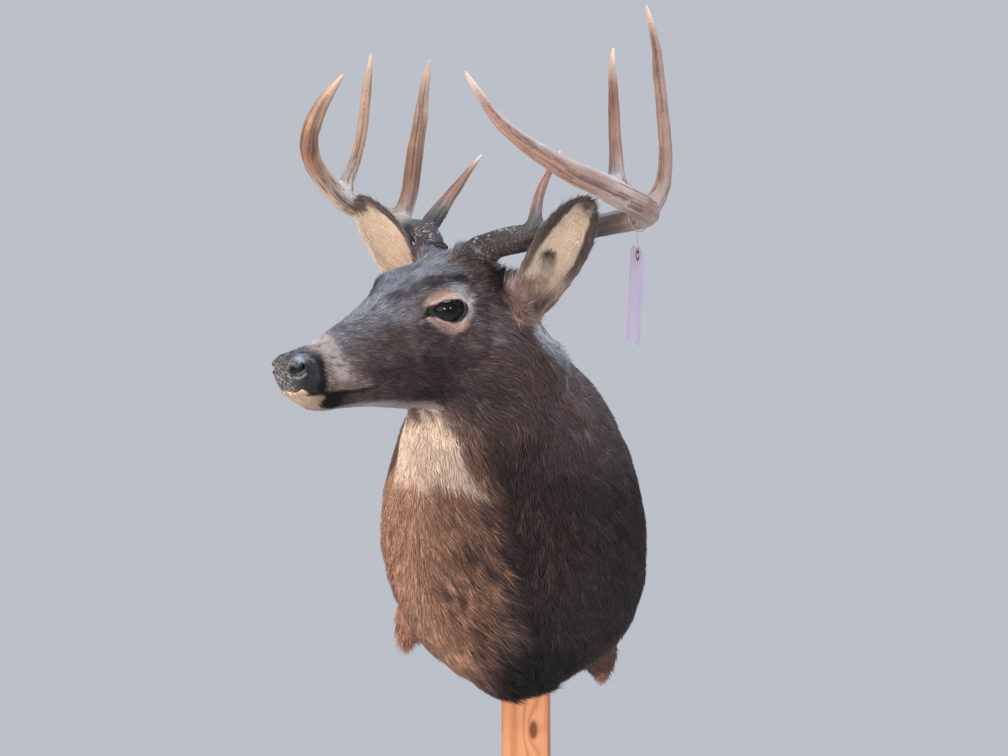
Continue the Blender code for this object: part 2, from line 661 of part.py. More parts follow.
def build():
    frame = head_frame()
    head, trunk = build_head(frame), build_body()
    head_cutter, body_cutter = cutter_of(head, "head_cutter"), cutter_of(trunk, "body_cutter")
    trunk = boolean(trunk, head_cutter, "DIFFERENCE")
    trunk = part_with(trunk, "neck", NECK_OUTLINE, 0.4, SIDE_VIEW, "coat")
    for side in ("left", "right"):
        eye = build_eye(side, frame)
        head = boolean(head, cutter_of(eye, f"socket_{side}"), "DIFFERENCE")
        ear = boolean(build_ear(side, frame), head_cutter, "DIFFERENCE")
        boolean(ear, body_cutter, "DIFFERENCE")
        build_antler(side, frame, head_cutter)
        build_leg_stump(side, body_cutter)
    head = part_with(head, "nose", NOSE_OUTLINE, 0.12, frame, "nose")
    part_with(head, "jaw", JAW_OUTLINE, 0.12, frame, "coat pale")
    build_board()
    points, hole = string_places(frame)
    build_string(points)
    build_tag(hole)


clear_scene()
MOUNT = new_collection("deer shoulder mount")
CUTTERS = new_collection("cutters", hidden=True)
SIDE_VIEW = Matrix(((0, 1, 0, 0), (-1, 0, 0, 0), (0, 0, 1, 0), (0, 0, 0, 1)))
build()
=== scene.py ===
"""Looks of the deer shoulder mount: one skin with its coat, glass eyes, antlers, boards and tag."""

import heapq
import math

import bmesh
import bpy
import numpy as np
from mathutils import Matrix, Vector


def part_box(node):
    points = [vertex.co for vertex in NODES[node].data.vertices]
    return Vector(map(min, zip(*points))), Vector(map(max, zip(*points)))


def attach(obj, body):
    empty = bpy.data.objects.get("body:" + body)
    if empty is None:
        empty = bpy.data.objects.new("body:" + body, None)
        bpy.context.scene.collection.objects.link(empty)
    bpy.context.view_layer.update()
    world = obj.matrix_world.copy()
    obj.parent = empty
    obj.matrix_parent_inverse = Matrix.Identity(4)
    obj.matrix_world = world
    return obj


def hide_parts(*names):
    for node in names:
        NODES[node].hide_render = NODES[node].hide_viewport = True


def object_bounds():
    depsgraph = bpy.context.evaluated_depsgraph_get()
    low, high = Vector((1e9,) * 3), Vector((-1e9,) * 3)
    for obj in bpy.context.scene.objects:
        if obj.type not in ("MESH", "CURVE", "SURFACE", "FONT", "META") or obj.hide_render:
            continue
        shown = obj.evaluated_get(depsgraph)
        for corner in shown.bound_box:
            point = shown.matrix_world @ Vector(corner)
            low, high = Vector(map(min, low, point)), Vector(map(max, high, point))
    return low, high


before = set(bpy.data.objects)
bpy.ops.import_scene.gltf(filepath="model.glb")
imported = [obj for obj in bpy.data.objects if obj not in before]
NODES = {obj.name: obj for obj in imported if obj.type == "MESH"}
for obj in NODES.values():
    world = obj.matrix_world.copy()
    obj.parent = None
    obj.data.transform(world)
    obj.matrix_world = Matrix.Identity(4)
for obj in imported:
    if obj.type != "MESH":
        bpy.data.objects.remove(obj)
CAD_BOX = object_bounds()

MM = 0.001
FLESH = ("trunk", "neck", "head", "jaw", "nose", "ear_left", "ear_right", "leg_stump_left", "leg_stump_right")
SIDES = {"left": 1, "right": -1}
SKIN_VOXEL, BONE_VOXEL = 3.0 * MM, 1.35 * MM

# The head's turn, nod and tilt, as in the solids; its origin is halfway between the eyes
HEAD_TURN, HEAD_NOD, HEAD_TILT = map(math.radians, (34.0, 14.0, -11.0))


# ---- frames and places


def corners(node):
    """The lowest and the highest corner of a CAD node's box."""
    return [np.array(corner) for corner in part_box(node)]


def solid_points(node):
    return np.array([v.co[:] for v in NODES[node].data.vertices])


def head_axes():
    """Columns: forward, left and up of the head in the row's frame."""
    forward = np.array((-math.sin(HEAD_TURN), -math.cos(HEAD_TURN), 0))
    up = np.array((0, 0, 1.0))
    left = np.cross(up, forward)
    nose = forward * math.cos(HEAD_NOD) - up * math.sin(HEAD_NOD)
    crown = up * math.cos(HEAD_NOD) + forward * math.sin(HEAD_NOD)
    side = left * math.cos(HEAD_TILT) + crown * math.sin(HEAD_TILT)
    crown = crown * math.cos(HEAD_TILT) - left * math.sin(HEAD_TILT)
    return np.stack((nose, side, crown), axis=1)


AXES = head_axes()
# Where the eyes' middles lie in the head's frame, in millimetres: forward, outward and up
EYE_FORWARD, EYE_OUT, EYE_UP = -4.0, 46.5, -1.0
EYES_MIDDLE = sum(sum(corners(f"eye_{side}")) / 2 for side in SIDES) / 2
HEAD_ORIGIN = EYES_MIDDLE - AXES @ np.array((EYE_FORWARD, 0, EYE_UP)) * MM
EYE_RADIUS = float(np.ptp(corners("eye_left"), axis=0).mean()) / 2 * 1000


def to_head(points):
    """Row frame in metres to the head's frame in millimetres: forward, left, up."""
    return (points - HEAD_ORIGIN) @ AXES * 1000


def from_head(points):
    return np.asarray(points, float) * MM @ AXES.T + HEAD_ORIGIN


def mirrored(head):
    """The head's two halves laid on one: the left half as it is, the right half turned over."""
    return np.stack((head[:, 0], np.abs(head[:, 1]), head[:, 2]), axis=1)


def ramp(low, high, value):
    """A soft step from 0 at `low` to 1 at `high`."""
    t = np.clip((value - low) / (high - low), 0, 1)
    return t * t * (3 - 2 * t)


def bell(value):
    return np.exp(-(value**2))


def blob(points, place, size):
    """1 at `place`, falling away over `size`, which may differ along each axis."""
    away = (points - np.asarray(place, float)) / np.asarray(size, float)
    return np.exp(-(away * away).sum(axis=1))


def blend(first, second, share):
    return first * (1 - share) + second * share


def unit(vectors):
    return vectors / np.maximum(np.linalg.norm(vectors, axis=1), 1e-6)[:, None]


def line_distance(points, line):
    """Distance to the nearest place on a bent line, and how far along it that is, from 0 to 1."""
    line = np.asarray(line, float)
    steps = np.linalg.norm(np.diff(line, axis=0), axis=1)
    starts = np.concatenate(((0,), np.cumsum(steps)))
    best, along = np.full(len(points), 1e9), np.zeros(len(points))
    for k, (a, b) in enumerate(zip(line, line[1:])):
        t = np.clip((points - a) @ (b - a) / steps[k] ** 2, 0, 1)
        away = np.linalg.norm(points - (a + t[:, None] * (b - a)), axis=1)
        closer = away < best
        best[closer] = away[closer]
        along[closer] = ((starts[k] + t * steps[k]) / starts[-1])[closer]
    return best, along


def off_line(points, line):
    return line_distance(points, line)[0]


# ---- noise on arrays


def hashed(cells, seed):
    """A number from 0 to 1 for each whole-numbered cell."""
    x, y, z = np.moveaxis(cells.astype(np.int64), -1, 0)
    mixed = x * 374761393 + y * 668265263 + z * 2147483647 + seed * 974634777
    mixed = (mixed ^ (mixed >> 13)) * 1274126177
    mixed = mixed ^ (mixed >> 16)
    return (mixed & 0xFFFFFF) / float(0xFFFFFF)


def value_noise(points, seed=0):
    """Smooth noise from -1 to 1, one feature in each unit cell."""
    base = np.floor(points)
    part = points - base
    part = part * part * (3 - 2 * part)
    total = np.zeros(len(points))
    for step in np.ndindex(2, 2, 2):
        x, y, z = (part[:, k] if far else 1 - part[:, k] for k, far in enumerate(step))
        total += hashed(base + step, seed) * (x * y * z)
    return total * 2 - 1


def layered(points, octaves=3, seed=0):
    return sum(value_noise(points * 2**k, seed + 17 * k) * 0.5**k for k in range(octaves))


def beads(points, seed=0):
    """Rounded grains: 1 at the middle of each, 0 between them."""
    base = np.floor(points)
    nearest = np.full(len(points), 9.0)
    for step in np.ndindex(3, 3, 3):
        cell = base + step - 1
        place = cell + np.stack([hashed(cell, seed + k) for k in (1, 2, 3)], axis=1)
        nearest = np.minimum(nearest, np.linalg.norm(place - points, axis=1))
    return np.clip(1 - nearest / 0.75, 0, 1)


def combed(places, lie, size, draw=0.86):
    """Noise in streaks that run with the hair, about `size` metres across, drawn out along it."""
    along = (places * lie).sum(axis=1)[:, None] * lie
    return value_noise((places - draw * along) / size, 91)


def wavering(places, scale, seed):
    """A small vector for each place that drifts from place to place."""
    return np.stack([value_noise(places * scale, seed + k) for k in range(3)], axis=1)


# ---- meshes as arrays


def mesh_arrays(mesh):
    """Vertex places, vertex normals and edges of a mesh."""
    count = len(mesh.vertices)
    places, normals = np.empty(count * 3), np.empty(count * 3, np.float32)
    mesh.vertices.foreach_get("co", places)
    mesh.vertex_normals.foreach_get("vector", normals)
    edges = np.empty(len(mesh.edges) * 2, np.int32)
    mesh.edges.foreach_get("vertices", edges)
    return places.reshape(-1, 3), normals.reshape(-1, 3).astype(float), edges.reshape(-1, 2)


def set_places(mesh, places):
    mesh.vertices.foreach_set("co", places.astype(np.float32).ravel())
    mesh.update()


def relaxed(values, edges, times, amount=0.5):
    """Values evened out over neighbouring vertices. `amount` may be one number for each vertex."""
    values = np.array(values, float)
    flat = values.ndim == 1
    values = values.reshape(len(values), -1)
    amount = np.asarray(amount, float).reshape(-1, 1)
    near = np.maximum(np.bincount(edges.ravel(), minlength=len(values)), 1)[:, None]
    for _ in range(times):
        total = np.stack([
            np.bincount(edges[:, 0], column[edges[:, 1]], len(values))
            + np.bincount(edges[:, 1], column[edges[:, 0]], len(values))
            for column in values.T
        ], axis=1)
        values = values + (total / near - values) * amount
    return values[:, 0] if flat else values


def scene_object(name, data):
    obj = bpy.data.objects.new(name, data)
    bpy.context.scene.collection.objects.link(obj)
    return obj


def meshed(name, body):
    """A bmesh as a mesh of its own."""
    mesh = bpy.data.meshes.new(name)
    body.to_mesh(mesh)
    body.free()
    return mesh


def dress(piece, material, slot, *stands_for):
    """Gives a piece its material, in place of the CAD nodes that it stands for. The slot is not used."""
    piece.data.materials.append(material)
    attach(piece, "root")
    if stands_for:
        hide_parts(*stands_for)
    return piece


def fused(name, nodes, grow, voxel, mounds=()):
    """One closed mesh round the given CAD nodes, each swollen a little so that the thin cuts close.
    `mounds` are round fillings: place and radius in the row's frame."""
    body = bmesh.new()
    for place, radius in mounds:
        bmesh.ops.create_icosphere(body, subdivisions=3, radius=radius, matrix=Matrix.Translation(place))
    for node in nodes:
        part = bmesh.new()
        part.from_mesh(NODES[node].data)
        part.normal_update()
        for vert in part.verts:
            vert.co += vert.normal * grow
        swollen = meshed("part", part)
        body.from_mesh(swollen)
        bpy.data.meshes.remove(swollen)
    obj = scene_object(name, meshed(name, body))
    remesh = obj.modifiers.new("remesh", "REMESH")
    remesh.mode, remesh.voxel_size = "VOXEL", voxel
    bpy.context.view_layer.update()
    closed = bpy.data.meshes.new_from_object(obj.evaluated_get(bpy.context.evaluated_depsgraph_get()))
    obj.modifiers.clear()
    obj.data = closed
    return obj


def refine(mesh, wanted):
    """Splits the faces in fours where `wanted` (points -> mask) is true."""
    body = bmesh.new()
    body.from_mesh(mesh)
    inside = wanted(np.array([v.co[:] for v in body.verts]))
    edges = [e for e in body.edges if inside[e.verts[0].index] and inside[e.verts[1].index]]
    bmesh.ops.subdivide_edges(body, edges=edges, cuts=1, use_grid_fill=True)
    body.to_mesh(mesh)
    body.free()


def set_colours(mesh, name, colours):
    """Stores a colour for each vertex, as red, green, blue from 0 to 1."""
    layer = mesh.color_attributes.new(name, "FLOAT_COLOR", "POINT")
    filled = np.ones((len(colours), 4), np.float32)
    filled[:, :3] = colours
    layer.data.foreach_set("color", filled.ravel())


def set_values(mesh, name, values):
    layer = mesh.attributes.new(name, "FLOAT", "POINT")
    layer.data.foreach_set("value", np.asarray(values, np.float32))


# ---- the parts of the body

# Half sizes of the eye's opening in the head's frame, and how thick its lids are
LID_BACK, LID_FRONT, LID_TOP, LID_BOTTOM, LID_THICK = 24.0, 23.0, 10.2, 12.2, 1.7
# The glass is longer than it is high, and its middle lies a little in front of the solid ball's
GLASS_LONG, GLASS_BACK = 1.48, -1.2
# Half sizes of the pale ring round the eye
RING_LONG, RING_HIGH = 32.5, 26.5

# Bent lines and places in the head's frame, in millimetres: forward, outward, up
MOUTH_LINE = (
    (196, 12, -77), (186, 21, -78), (166, 27, -78.5), (143, 28.5, -80), (123, 30.5, -80.5), (106, 32.5, -80),
    (97, 34, -79),
)
EAR_TIP = {"left": np.array((-99.0, 190.0, 120.0)), "right": np.array((-66.0, -178.0, 126.0))}
EAR_ROOT = {"left": np.array((-118.0, 67.0, -5.0)), "right": np.array((-89.0, -74.0, 0.0))}
EAR_OPENING = {"left": np.array((0.83, 0.37, -0.43)), "right": np.array((0.96, 0.22, -0.16))}
# How much of the way to its inner and outer edge each ear's pale inside reaches
EAR_RIM = {"left": (0.64, 0.66), "right": (0.74, 1.5)}

# The fold down the neck's left side in the row's frame, in millimetres
NECK_FOLD = ((131, -262, 109), (145, -248, 66), (152, -237, 45))


def eye_view(head, side):
    """Place relative to the eye's middle: forward, outward and up."""
    ahead, left, up = head.T
    return np.stack((ahead - EYE_FORWARD, left * SIDES[side] - EYE_OUT, up - EYE_UP), axis=1)


def lid_reach(view):
    """1 on the lid's rim, less inside the opening, more outside it."""
    forward, _, up = view.T
    up = up - 0.06 * forward
    along = np.abs(forward / np.where(forward > 0, LID_FRONT, LID_BACK)) ** np.where(forward > 0, 2.0, 2.2)
    return (along + np.abs(up / np.where(up > 0, LID_TOP, LID_BOTTOM)) ** 1.9) ** 0.5


def leg_share(places):
    """1 on the two stumps of the forelegs."""
    share = np.zeros(len(places))
    for side in SIDES:
        low, high = corners(f"leg_stump_{side}")
        share = np.maximum(share, ramp(0.006, -0.004, np.maximum(low - places, places - high).max(axis=1)))
    return share


def head_share(head, start=-105, end=-50):
    """How far a point belongs to the head rather than the neck: 0 on the neck, 1 on the face."""
    ahead, _, up = head.T
    return ramp(start, end, ahead) * ramp(-152, -122, up - 0.10 * np.maximum(ahead, 0))


def on_face(head, ragged):
    return head_share(head + 12 * ragged[:, None], -135, -35)


def face_share(head):
    """1 where the hair is as short as on the face."""
    ahead, _, up = head.T
    return ramp(-110, 25, ahead + 0.35 * np.minimum(up + 70, 0)) * ramp(-150, -112, up)


def ear_axes(side):
    """The ear's length from root to tip, and the way across its opening."""
    length = EAR_TIP[side] - EAR_ROOT[side]
    axis = length / np.linalg.norm(length)
    opening = EAR_OPENING[side] - axis * (EAR_OPENING[side] @ axis)
    return axis, np.cross(axis, opening / np.linalg.norm(opening)), np.linalg.norm(length)


def ear_masks(places, normals):
    """How much a point belongs to an ear, and how much it lies inside the ear's cup."""
    ear, inner = np.zeros(len(places)), np.zeros(len(places))
    head = to_head(places)
    ahead, left, up = head.T
    for side, sign in SIDES.items():
        low, high = corners(f"ear_{side}")
        near = np.all((places > low - 3 * MM) & (places < high + 3 * MM), axis=1)
        outer = left * sign
        mask = near * ramp(68, 80, outer + 0.35 * (up - 10)) * ramp(-62, -72, ahead - 0.12 * (outer - 70))
        ear = np.maximum(ear, mask)
        facing = normals @ (EAR_OPENING[side] @ AXES.T)
        inner = np.where(mask > 0.2, ramp(0.05, 0.35, facing), inner)
        cup = blob(head, EAR_ROOT[side] + ear_axes(side)[0] * 24 + EAR_OPENING[side] * 10, (22, 22, 22))
        inner = np.maximum(inner, mask * ramp(-0.45, -0.15, facing) * ramp(0.15, 0.4, cup))
    return ear, inner


def ear_place(places):
    """From 0 on the ear's middle line to 1 at its dark rim, and from 0 at its root to 1 at its end."""
    head = to_head(places)
    rim, share = np.zeros(len(places)), np.zeros(len(places))
    for side, sign in SIDES.items():
        axis, across, length = ear_axes(side)
        solid = to_head(solid_points(f"ear_{side}")) - EAR_ROOT[side]
        steps = np.linspace(0.12, 0.97, 12)
        bands = [solid[np.abs(solid @ axis / length - step) < 0.07] @ across for step in steps]
        here = head - EAR_ROOT[side]
        along = here @ axis / length
        low, high = (np.interp(along, steps, [edge(band) for band in bands]) for edge in (np.min, np.max))
        value = (here @ across - (low + high) / 2) / np.maximum((high - low) / 2, 1.0) * sign
        inner_edge, outer_edge = EAR_RIM[side]
        value = np.where(value > 0, value / outer_edge, -value / inner_edge)
        value = np.maximum(value * (1 + 0.4 * ramp(0.5, 0.85, along)), along / 0.84)
        mine = head[:, 1] * sign > 0
        rim, share = np.where(mine, value, rim), np.where(mine, along, share)
    return rim, share


# ---- the skin's form

# Forms of the face: how far out or in, where on the left half, and over what size
FACE_FORMS = (
    (1.6, (60, 46, -14), (30, 14, 8)),  # cheek bone
    (-1.4, (66, 36, 6), (26, 12, 12)),  # hollow before the eye
    (1.4, (150, 26, -66), (30, 10, 8)),  # upper lip
    (1.5, (186, 14, -88), (14, 16, 6)),  # chin
    (3.6, (163, 12, -97), (20, 20, 10)),  # below the chin
    (-1.2, (116, 34, -62), (18, 10, 10)),  # hollow of the cheek
    (1.5, (30, 30, 40), (30, 12, 10)),  # brow
    (-1.5, (20, 0, 40), (36, 12, 14)),  # dip of the forehead
)
BROW_CREASE = ((54, 8, 22), (46, 14, 27), (28, 25, 35), (4, 40, 42))
VEIN = ((88, 40, -34), (70, 45, -42), (52, 50, -40), (36, 53, -34))
TEAR_PIT = ((22, EYE_OUT + 6, -2), (32, EYE_OUT + 1, -6), (42, EYE_OUT - 3, -12))
NOSE_RIM = (
    (203, 0, -36), (196, 15, -33), (187, 25, -38), (181, 28, -50), (185, 25, -62), (194, 12, -71),
    (197, 0, -74),
)
NOSTRIL = ((197, 18, -48), (194, 22.5, -49.5), (190.5, 25.5, -47), (190, 26, -43.5))
# Fillings along the neck's join with the left cheek, and behind the left ear
CHEEK_MOUNDS = (
    (-37, 60, -26), (-36, 60, -40), (-35, 58, -55), (-29, 52, -70), (-23, 46, -86), (-20, 38, -100),
    (-17, 28, -112),
)
NAPE_MOUND = (0.102, -0.328, 0.172)
# How deep the skin lies under the coat's tips, in millimetres
DEPTH = {"body": 7.5, "face": 2.6, "muzzle": 1.0, "ear": 1.1}


def coat_depth(places, ear):
    """How deep the skin lies under the coat's tips."""
    head = to_head(places)
    depth = blend(DEPTH["body"], DEPTH["face"], face_share(head))
    return blend(blend(depth, DEPTH["muzzle"], ramp(90, 150, head[:, 0])), DEPTH["ear"], ear) * MM


def mounds():
    """Fillings where the solids meet in hollows, as place and radius."""
    for side, sign in SIDES.items():
        root, axis = EAR_ROOT[side], ear_axes(side)[0]
        for place, radius in (
            (root + axis * 17 - EAR_OPENING[side] * 2, 16), (root + (13, 7 * sign, 8), 17),
            ((-86, 64 * sign, 20), 19), ((-60, 34 * sign, 40), 23), ((-47, 32 * sign, 55), 18),
        ):
            yield Vector(from_head(place)), radius * MM
    for place in CHEEK_MOUNDS:
        yield Vector(from_head(place)), 10 * MM
    yield Vector(NAPE_MOUND), 31 * MM


def build_skin():
    """One skin round all the flesh, refined on the head, then shaped: lids, nostrils, mouth and folds."""
    skin = fused("skin", FLESH + ("eye_left", "eye_right"), 0.35 * MM, SKIN_VOXEL, mounds())
    mesh = skin.data
    places, normals, edges = mesh_arrays(mesh)
    ear, _ = ear_masks(places, normals)
    places = relaxed(places, edges, 5, 0.5 * (1 - 0.75 * ear))
    ahead, _, up = to_head(places).T
    broad = (1 - ramp(-150, -90, ahead) * ramp(-165, -130, up)) * ramp(-0.05, -0.07, places[:, 1])
    places = relaxed(places, edges, 45, 0.5 * (broad * (1 - ear) * (1 - leg_share(places))))
    head = to_head(places)
    half = mirrored(head)
    ahead, _, up = head.T
    jaw_joint = ramp(40, -15, ahead) * ramp(-30, -62, up)
    back_joint = ramp(-48, -66, ahead) * ramp(5, -25, up)
    joint = ramp(-190, -160, ahead) * np.maximum(jaw_joint, back_joint) * ramp(-230, -190, up) * (1 - ear)
    places = relaxed(places, edges, 150, 0.5 * joint)
    roots = np.maximum(blob(half, (-100, 76, 6), (24, 22, 26)), blob(half, (-60, 40, 50), (26, 24, 24)))
    places = relaxed(places, edges, 16, 0.5 * ramp(0.15, 0.6, roots))
    set_places(mesh, places)

    def within(half, place, reach):
        return np.linalg.norm(half - place, axis=1) < reach

    def on_features(points):
        half = mirrored(to_head(points))
        eye, brow = within(half, (2, EYE_OUT + 8, 0), 46), within(half, (36, 20, 30), 26)
        return eye | brow | (off_line(half, MOUTH_LINE) < 12) | (half[:, 0] > 140)

    def on_details(points):
        half = mirrored(to_head(points))
        return within(half, (2, EYE_OUT + 8, 0), 34) | ((half[:, 0] > 178) & (half[:, 2] > -82))

    refine(mesh, on_features)
    refine(mesh, on_details)
    places, _, edges = mesh_arrays(mesh)
    set_places(mesh, relaxed(places, edges, 2))
    places, normals, edges = mesh_arrays(mesh)
    ear, _ = ear_masks(places, normals)
    depth = relaxed(coat_depth(places, ear), edges, 6) * (1 - ramp(-0.045, -0.039, places[:, 1]))
    set_places(mesh, places - unit(relaxed(normals, edges, 6)) * depth[:, None])
    shape_face(mesh)
    shape_eyes(mesh)
    mesh.shade_smooth()
    return skin


def shape_face(mesh):
    """Nostrils, the mouth's line and lips, tear pits, the face's planes and veins, and the neck's folds."""
    places, normals, edges = mesh_arrays(mesh)
    head = to_head(places)
    half = mirrored(head)
    ahead, left, up = head.T
    soft = relaxed(normals, edges, 3)
    move = sum(out * blob(half, place, size) for out, place, size in FACE_FORMS)
    move -= 2.0 * bell(off_line(half, BROW_CREASE) / 4.0)
    move += 0.7 * bell(off_line(half, VEIN) / 2.4)
    away, along = line_distance(half, MOUTH_LINE)
    fade = 1 - 0.55 * ramp(0.8, 1.0, along)
    move += (0.9 * bell((away - 4.5) / 2.6) - 3.4 * bell(away / 1.5)) * fade
    # the nose: a pad with a border, a groove down its middle and two comma-shaped nostrils
    move -= 0.5 * bell(off_line(half, NOSE_RIM) / 1.6) * (ahead > 172)
    move -= 0.5 * bell(left / 1.3) * ramp(192, 197, ahead) * ramp(-54, -62, up)
    move -= 1.6 * blob(head, (200, -16, -48), (12, 9, 12))
    slot, place = line_distance(half, NOSTRIL)
    width = 1.7 + 1.5 * (1 - place)
    inside = ramp(width + 0.8, width - 1.4, slot) * (ahead > 180)
    move += 1.3 * bell((slot - width - 2.2) / 1.8) * (ahead > 180) * (1 - inside)
    move += 0.25 * value_noise(head / 3.0, 5) * ramp(120, 60, np.abs(ahead - 100))
    places = places + soft * (move * MM)[:, None]
    # the nostril's hollow runs back and inwards
    inward = np.stack((-np.ones(len(head)), -0.55 * np.sign(left), 0.1 * np.ones(len(head))), axis=1)
    places = places + unit(inward) @ AXES.T * (inside * 7.0 * MM)[:, None]
    # the tear pit in front of the eye, and folds where the turned neck is drawn together
    places = places - soft * (2.2 * MM * bell(off_line(half, TEAR_PIT) / 3.0))[:, None]
    ridge = off_line(places * 1000, ((118, -338, 150), *NECK_FOLD))
    groove = off_line(places * 1000, ((112, -330, 124), (118, -306, 79), (124, -280, 20), (126, -250, -50)))
    places = places + soft * ((3.2 * bell(ridge / 13) - 3.0 * bell(groove / 12)) * MM)[:, None]
    x, _, z = places.T * 1000
    folds = np.sin(0.11 * (x * 0.35 + z * 0.9) + 1.5 * value_noise(places * 9, 3))
    neck = ramp(-95, -140, ahead) * ramp(-0.10, -0.20, places[:, 1])
    places = places + soft * (0.8 * MM * folds * neck)[:, None]
    lumps = layered(places * 14, 3, 8) * ramp(-60, -120, ahead)
    set_places(mesh, places + soft * (1.2 * MM * lumps)[:, None])


def shape_eyes(mesh):
    """Lids lie on the glass round an almond opening; inside the opening the skin drops behind the glass."""
    head = to_head(mesh_arrays(mesh)[0])
    for side, sign in SIDES.items():
        view = eye_view(head, side)
        reach = lid_reach(view)
        # squeezed along the glass, so that its surface is a ball's
        round_view = np.stack(((view[:, 0] + GLASS_BACK) / GLASS_LONG, view[:, 1], view[:, 2]), axis=1)
        away = np.linalg.norm(round_view, axis=1)
        near = (view[:, 1] > -EYE_RADIUS * 0.35) & (np.linalg.norm(view, axis=1) < EYE_RADIUS * 2.3)
        lid = EYE_RADIUS + LID_THICK + 0.6 * bell((reach - 1.12) / 0.12)
        lid = lid + 0.9 * ramp(-4, 6, view[:, 2]) * bell((reach - 1.3) / 0.2)
        over = near & (reach >= 1.0)
        pulled = away + (lid - away) * 0.85 * ramp(1.8, 1.1, reach)
        distance = np.where(over & (reach < 1.8), pulled, away)
        distance = np.where(over, np.maximum(distance, np.minimum(lid, away + 12)), distance)
        sunk = blend(lid, EYE_RADIUS - 4.0, ramp(1.0, 0.88, reach))
        distance = np.where(near & (reach < 1.0), sunk, distance)
        distance = distance - 1.1 * bell((reach - 1.9) / 0.16) * ramp(0, 8, view[:, 2]) * near
        moved = unit(round_view) * distance[:, None] * (GLASS_LONG, 1, 1) + (-GLASS_BACK, 0, 0)
        moved = (moved + (EYE_FORWARD, EYE_OUT, EYE_UP)) * (1, sign, 1)
        head[near] = moved[near]
    set_places(mesh, from_head(head))


# ---- markings


def srgb(red, green, blue):
    """A colour as seen, 0 to 255, to linear light."""
    seen = np.array((red, green, blue)) / 255
    return np.where(seen <= 0.04045, seen / 12.92, ((seen + 0.055) / 1.055) ** 2.4)


def palette(**colours):
    return {name.replace("_", " "): srgb(*seen) for name, seen in colours.items()}


# Painted light among these: the pale blue-white and the nose's pale grey are painted highlights,
# and the grey-blue nape tone, where the neck faces up and high on its left side, is painted light
COAT = palette(
    neck=(98, 75, 71), neck_dark=(44, 35, 35), nape=(120, 113, 116), nape_pale=(204, 210, 220),
    chest=(172, 131, 108), chest_dark=(96, 68, 56), black_brown=(38, 30, 29), throat=(234, 210, 190),
    face=(102, 83, 79), face_grey=(139, 134, 136), face_dark=(58, 48, 49), muzzle=(226, 206, 198),
    muzzle_tan=(168, 138, 128), chin=(246, 214, 186), ring=(246, 206, 187), ring_white=(222, 218, 212),
    nose=(46, 42, 45), nose_pale=(152, 151, 152), black=(20, 17, 18), ear_back=(98, 86, 84),
    ear_rim=(52, 45, 48), ear_inner=(255, 231, 208), ear_base=(186, 150, 138), armpit=(214, 158, 132),
)
# The chest's tan reaches so far to the left at each height, in millimetres
CHEST_HEIGHTS = (-200, -176, -150, -138, -80, -20, 11, 70)
CHEST_EDGE = (-38, -16, 12, 21, 20, 10, 4, -25)
# Lines of the face's and the neck's markings; BROW_LINE is painted shade, NAPE_SHEEN a painted highlight
BROW_LINE = ((60, 16, 14), (50, 28, 22), (41, 36, 27), (31, 43, 31), (18, 49, 33), (0, 49, 36), (-20, 47, 37))
LIP_LINE = ((150, 28, -73), (128, 31, -74), (108, 34, -73))
TEAR_LINE = ((33, 49, 2), (37, 50, -7), (36, 52, -15))
EAR_TUFT = ((-117, 97, 25), (-116, 103, 35), (-113, 109, 48))
NAPE_SHEEN = ((92, -350, 222), (110, -338, 198), (124, -312, 180))
# Darker parts of the cheek, the jaw and the muzzle's side: how dark, where, and over what size
FACE_SHADOWS = (
    (0.6, (20, 50, -62), (56, 40, 18)),
    (0.95, (0, 50, -98), (62, 50, 20)),
    (0.75, (96, 36, -62), (34, 30, 16)),
)


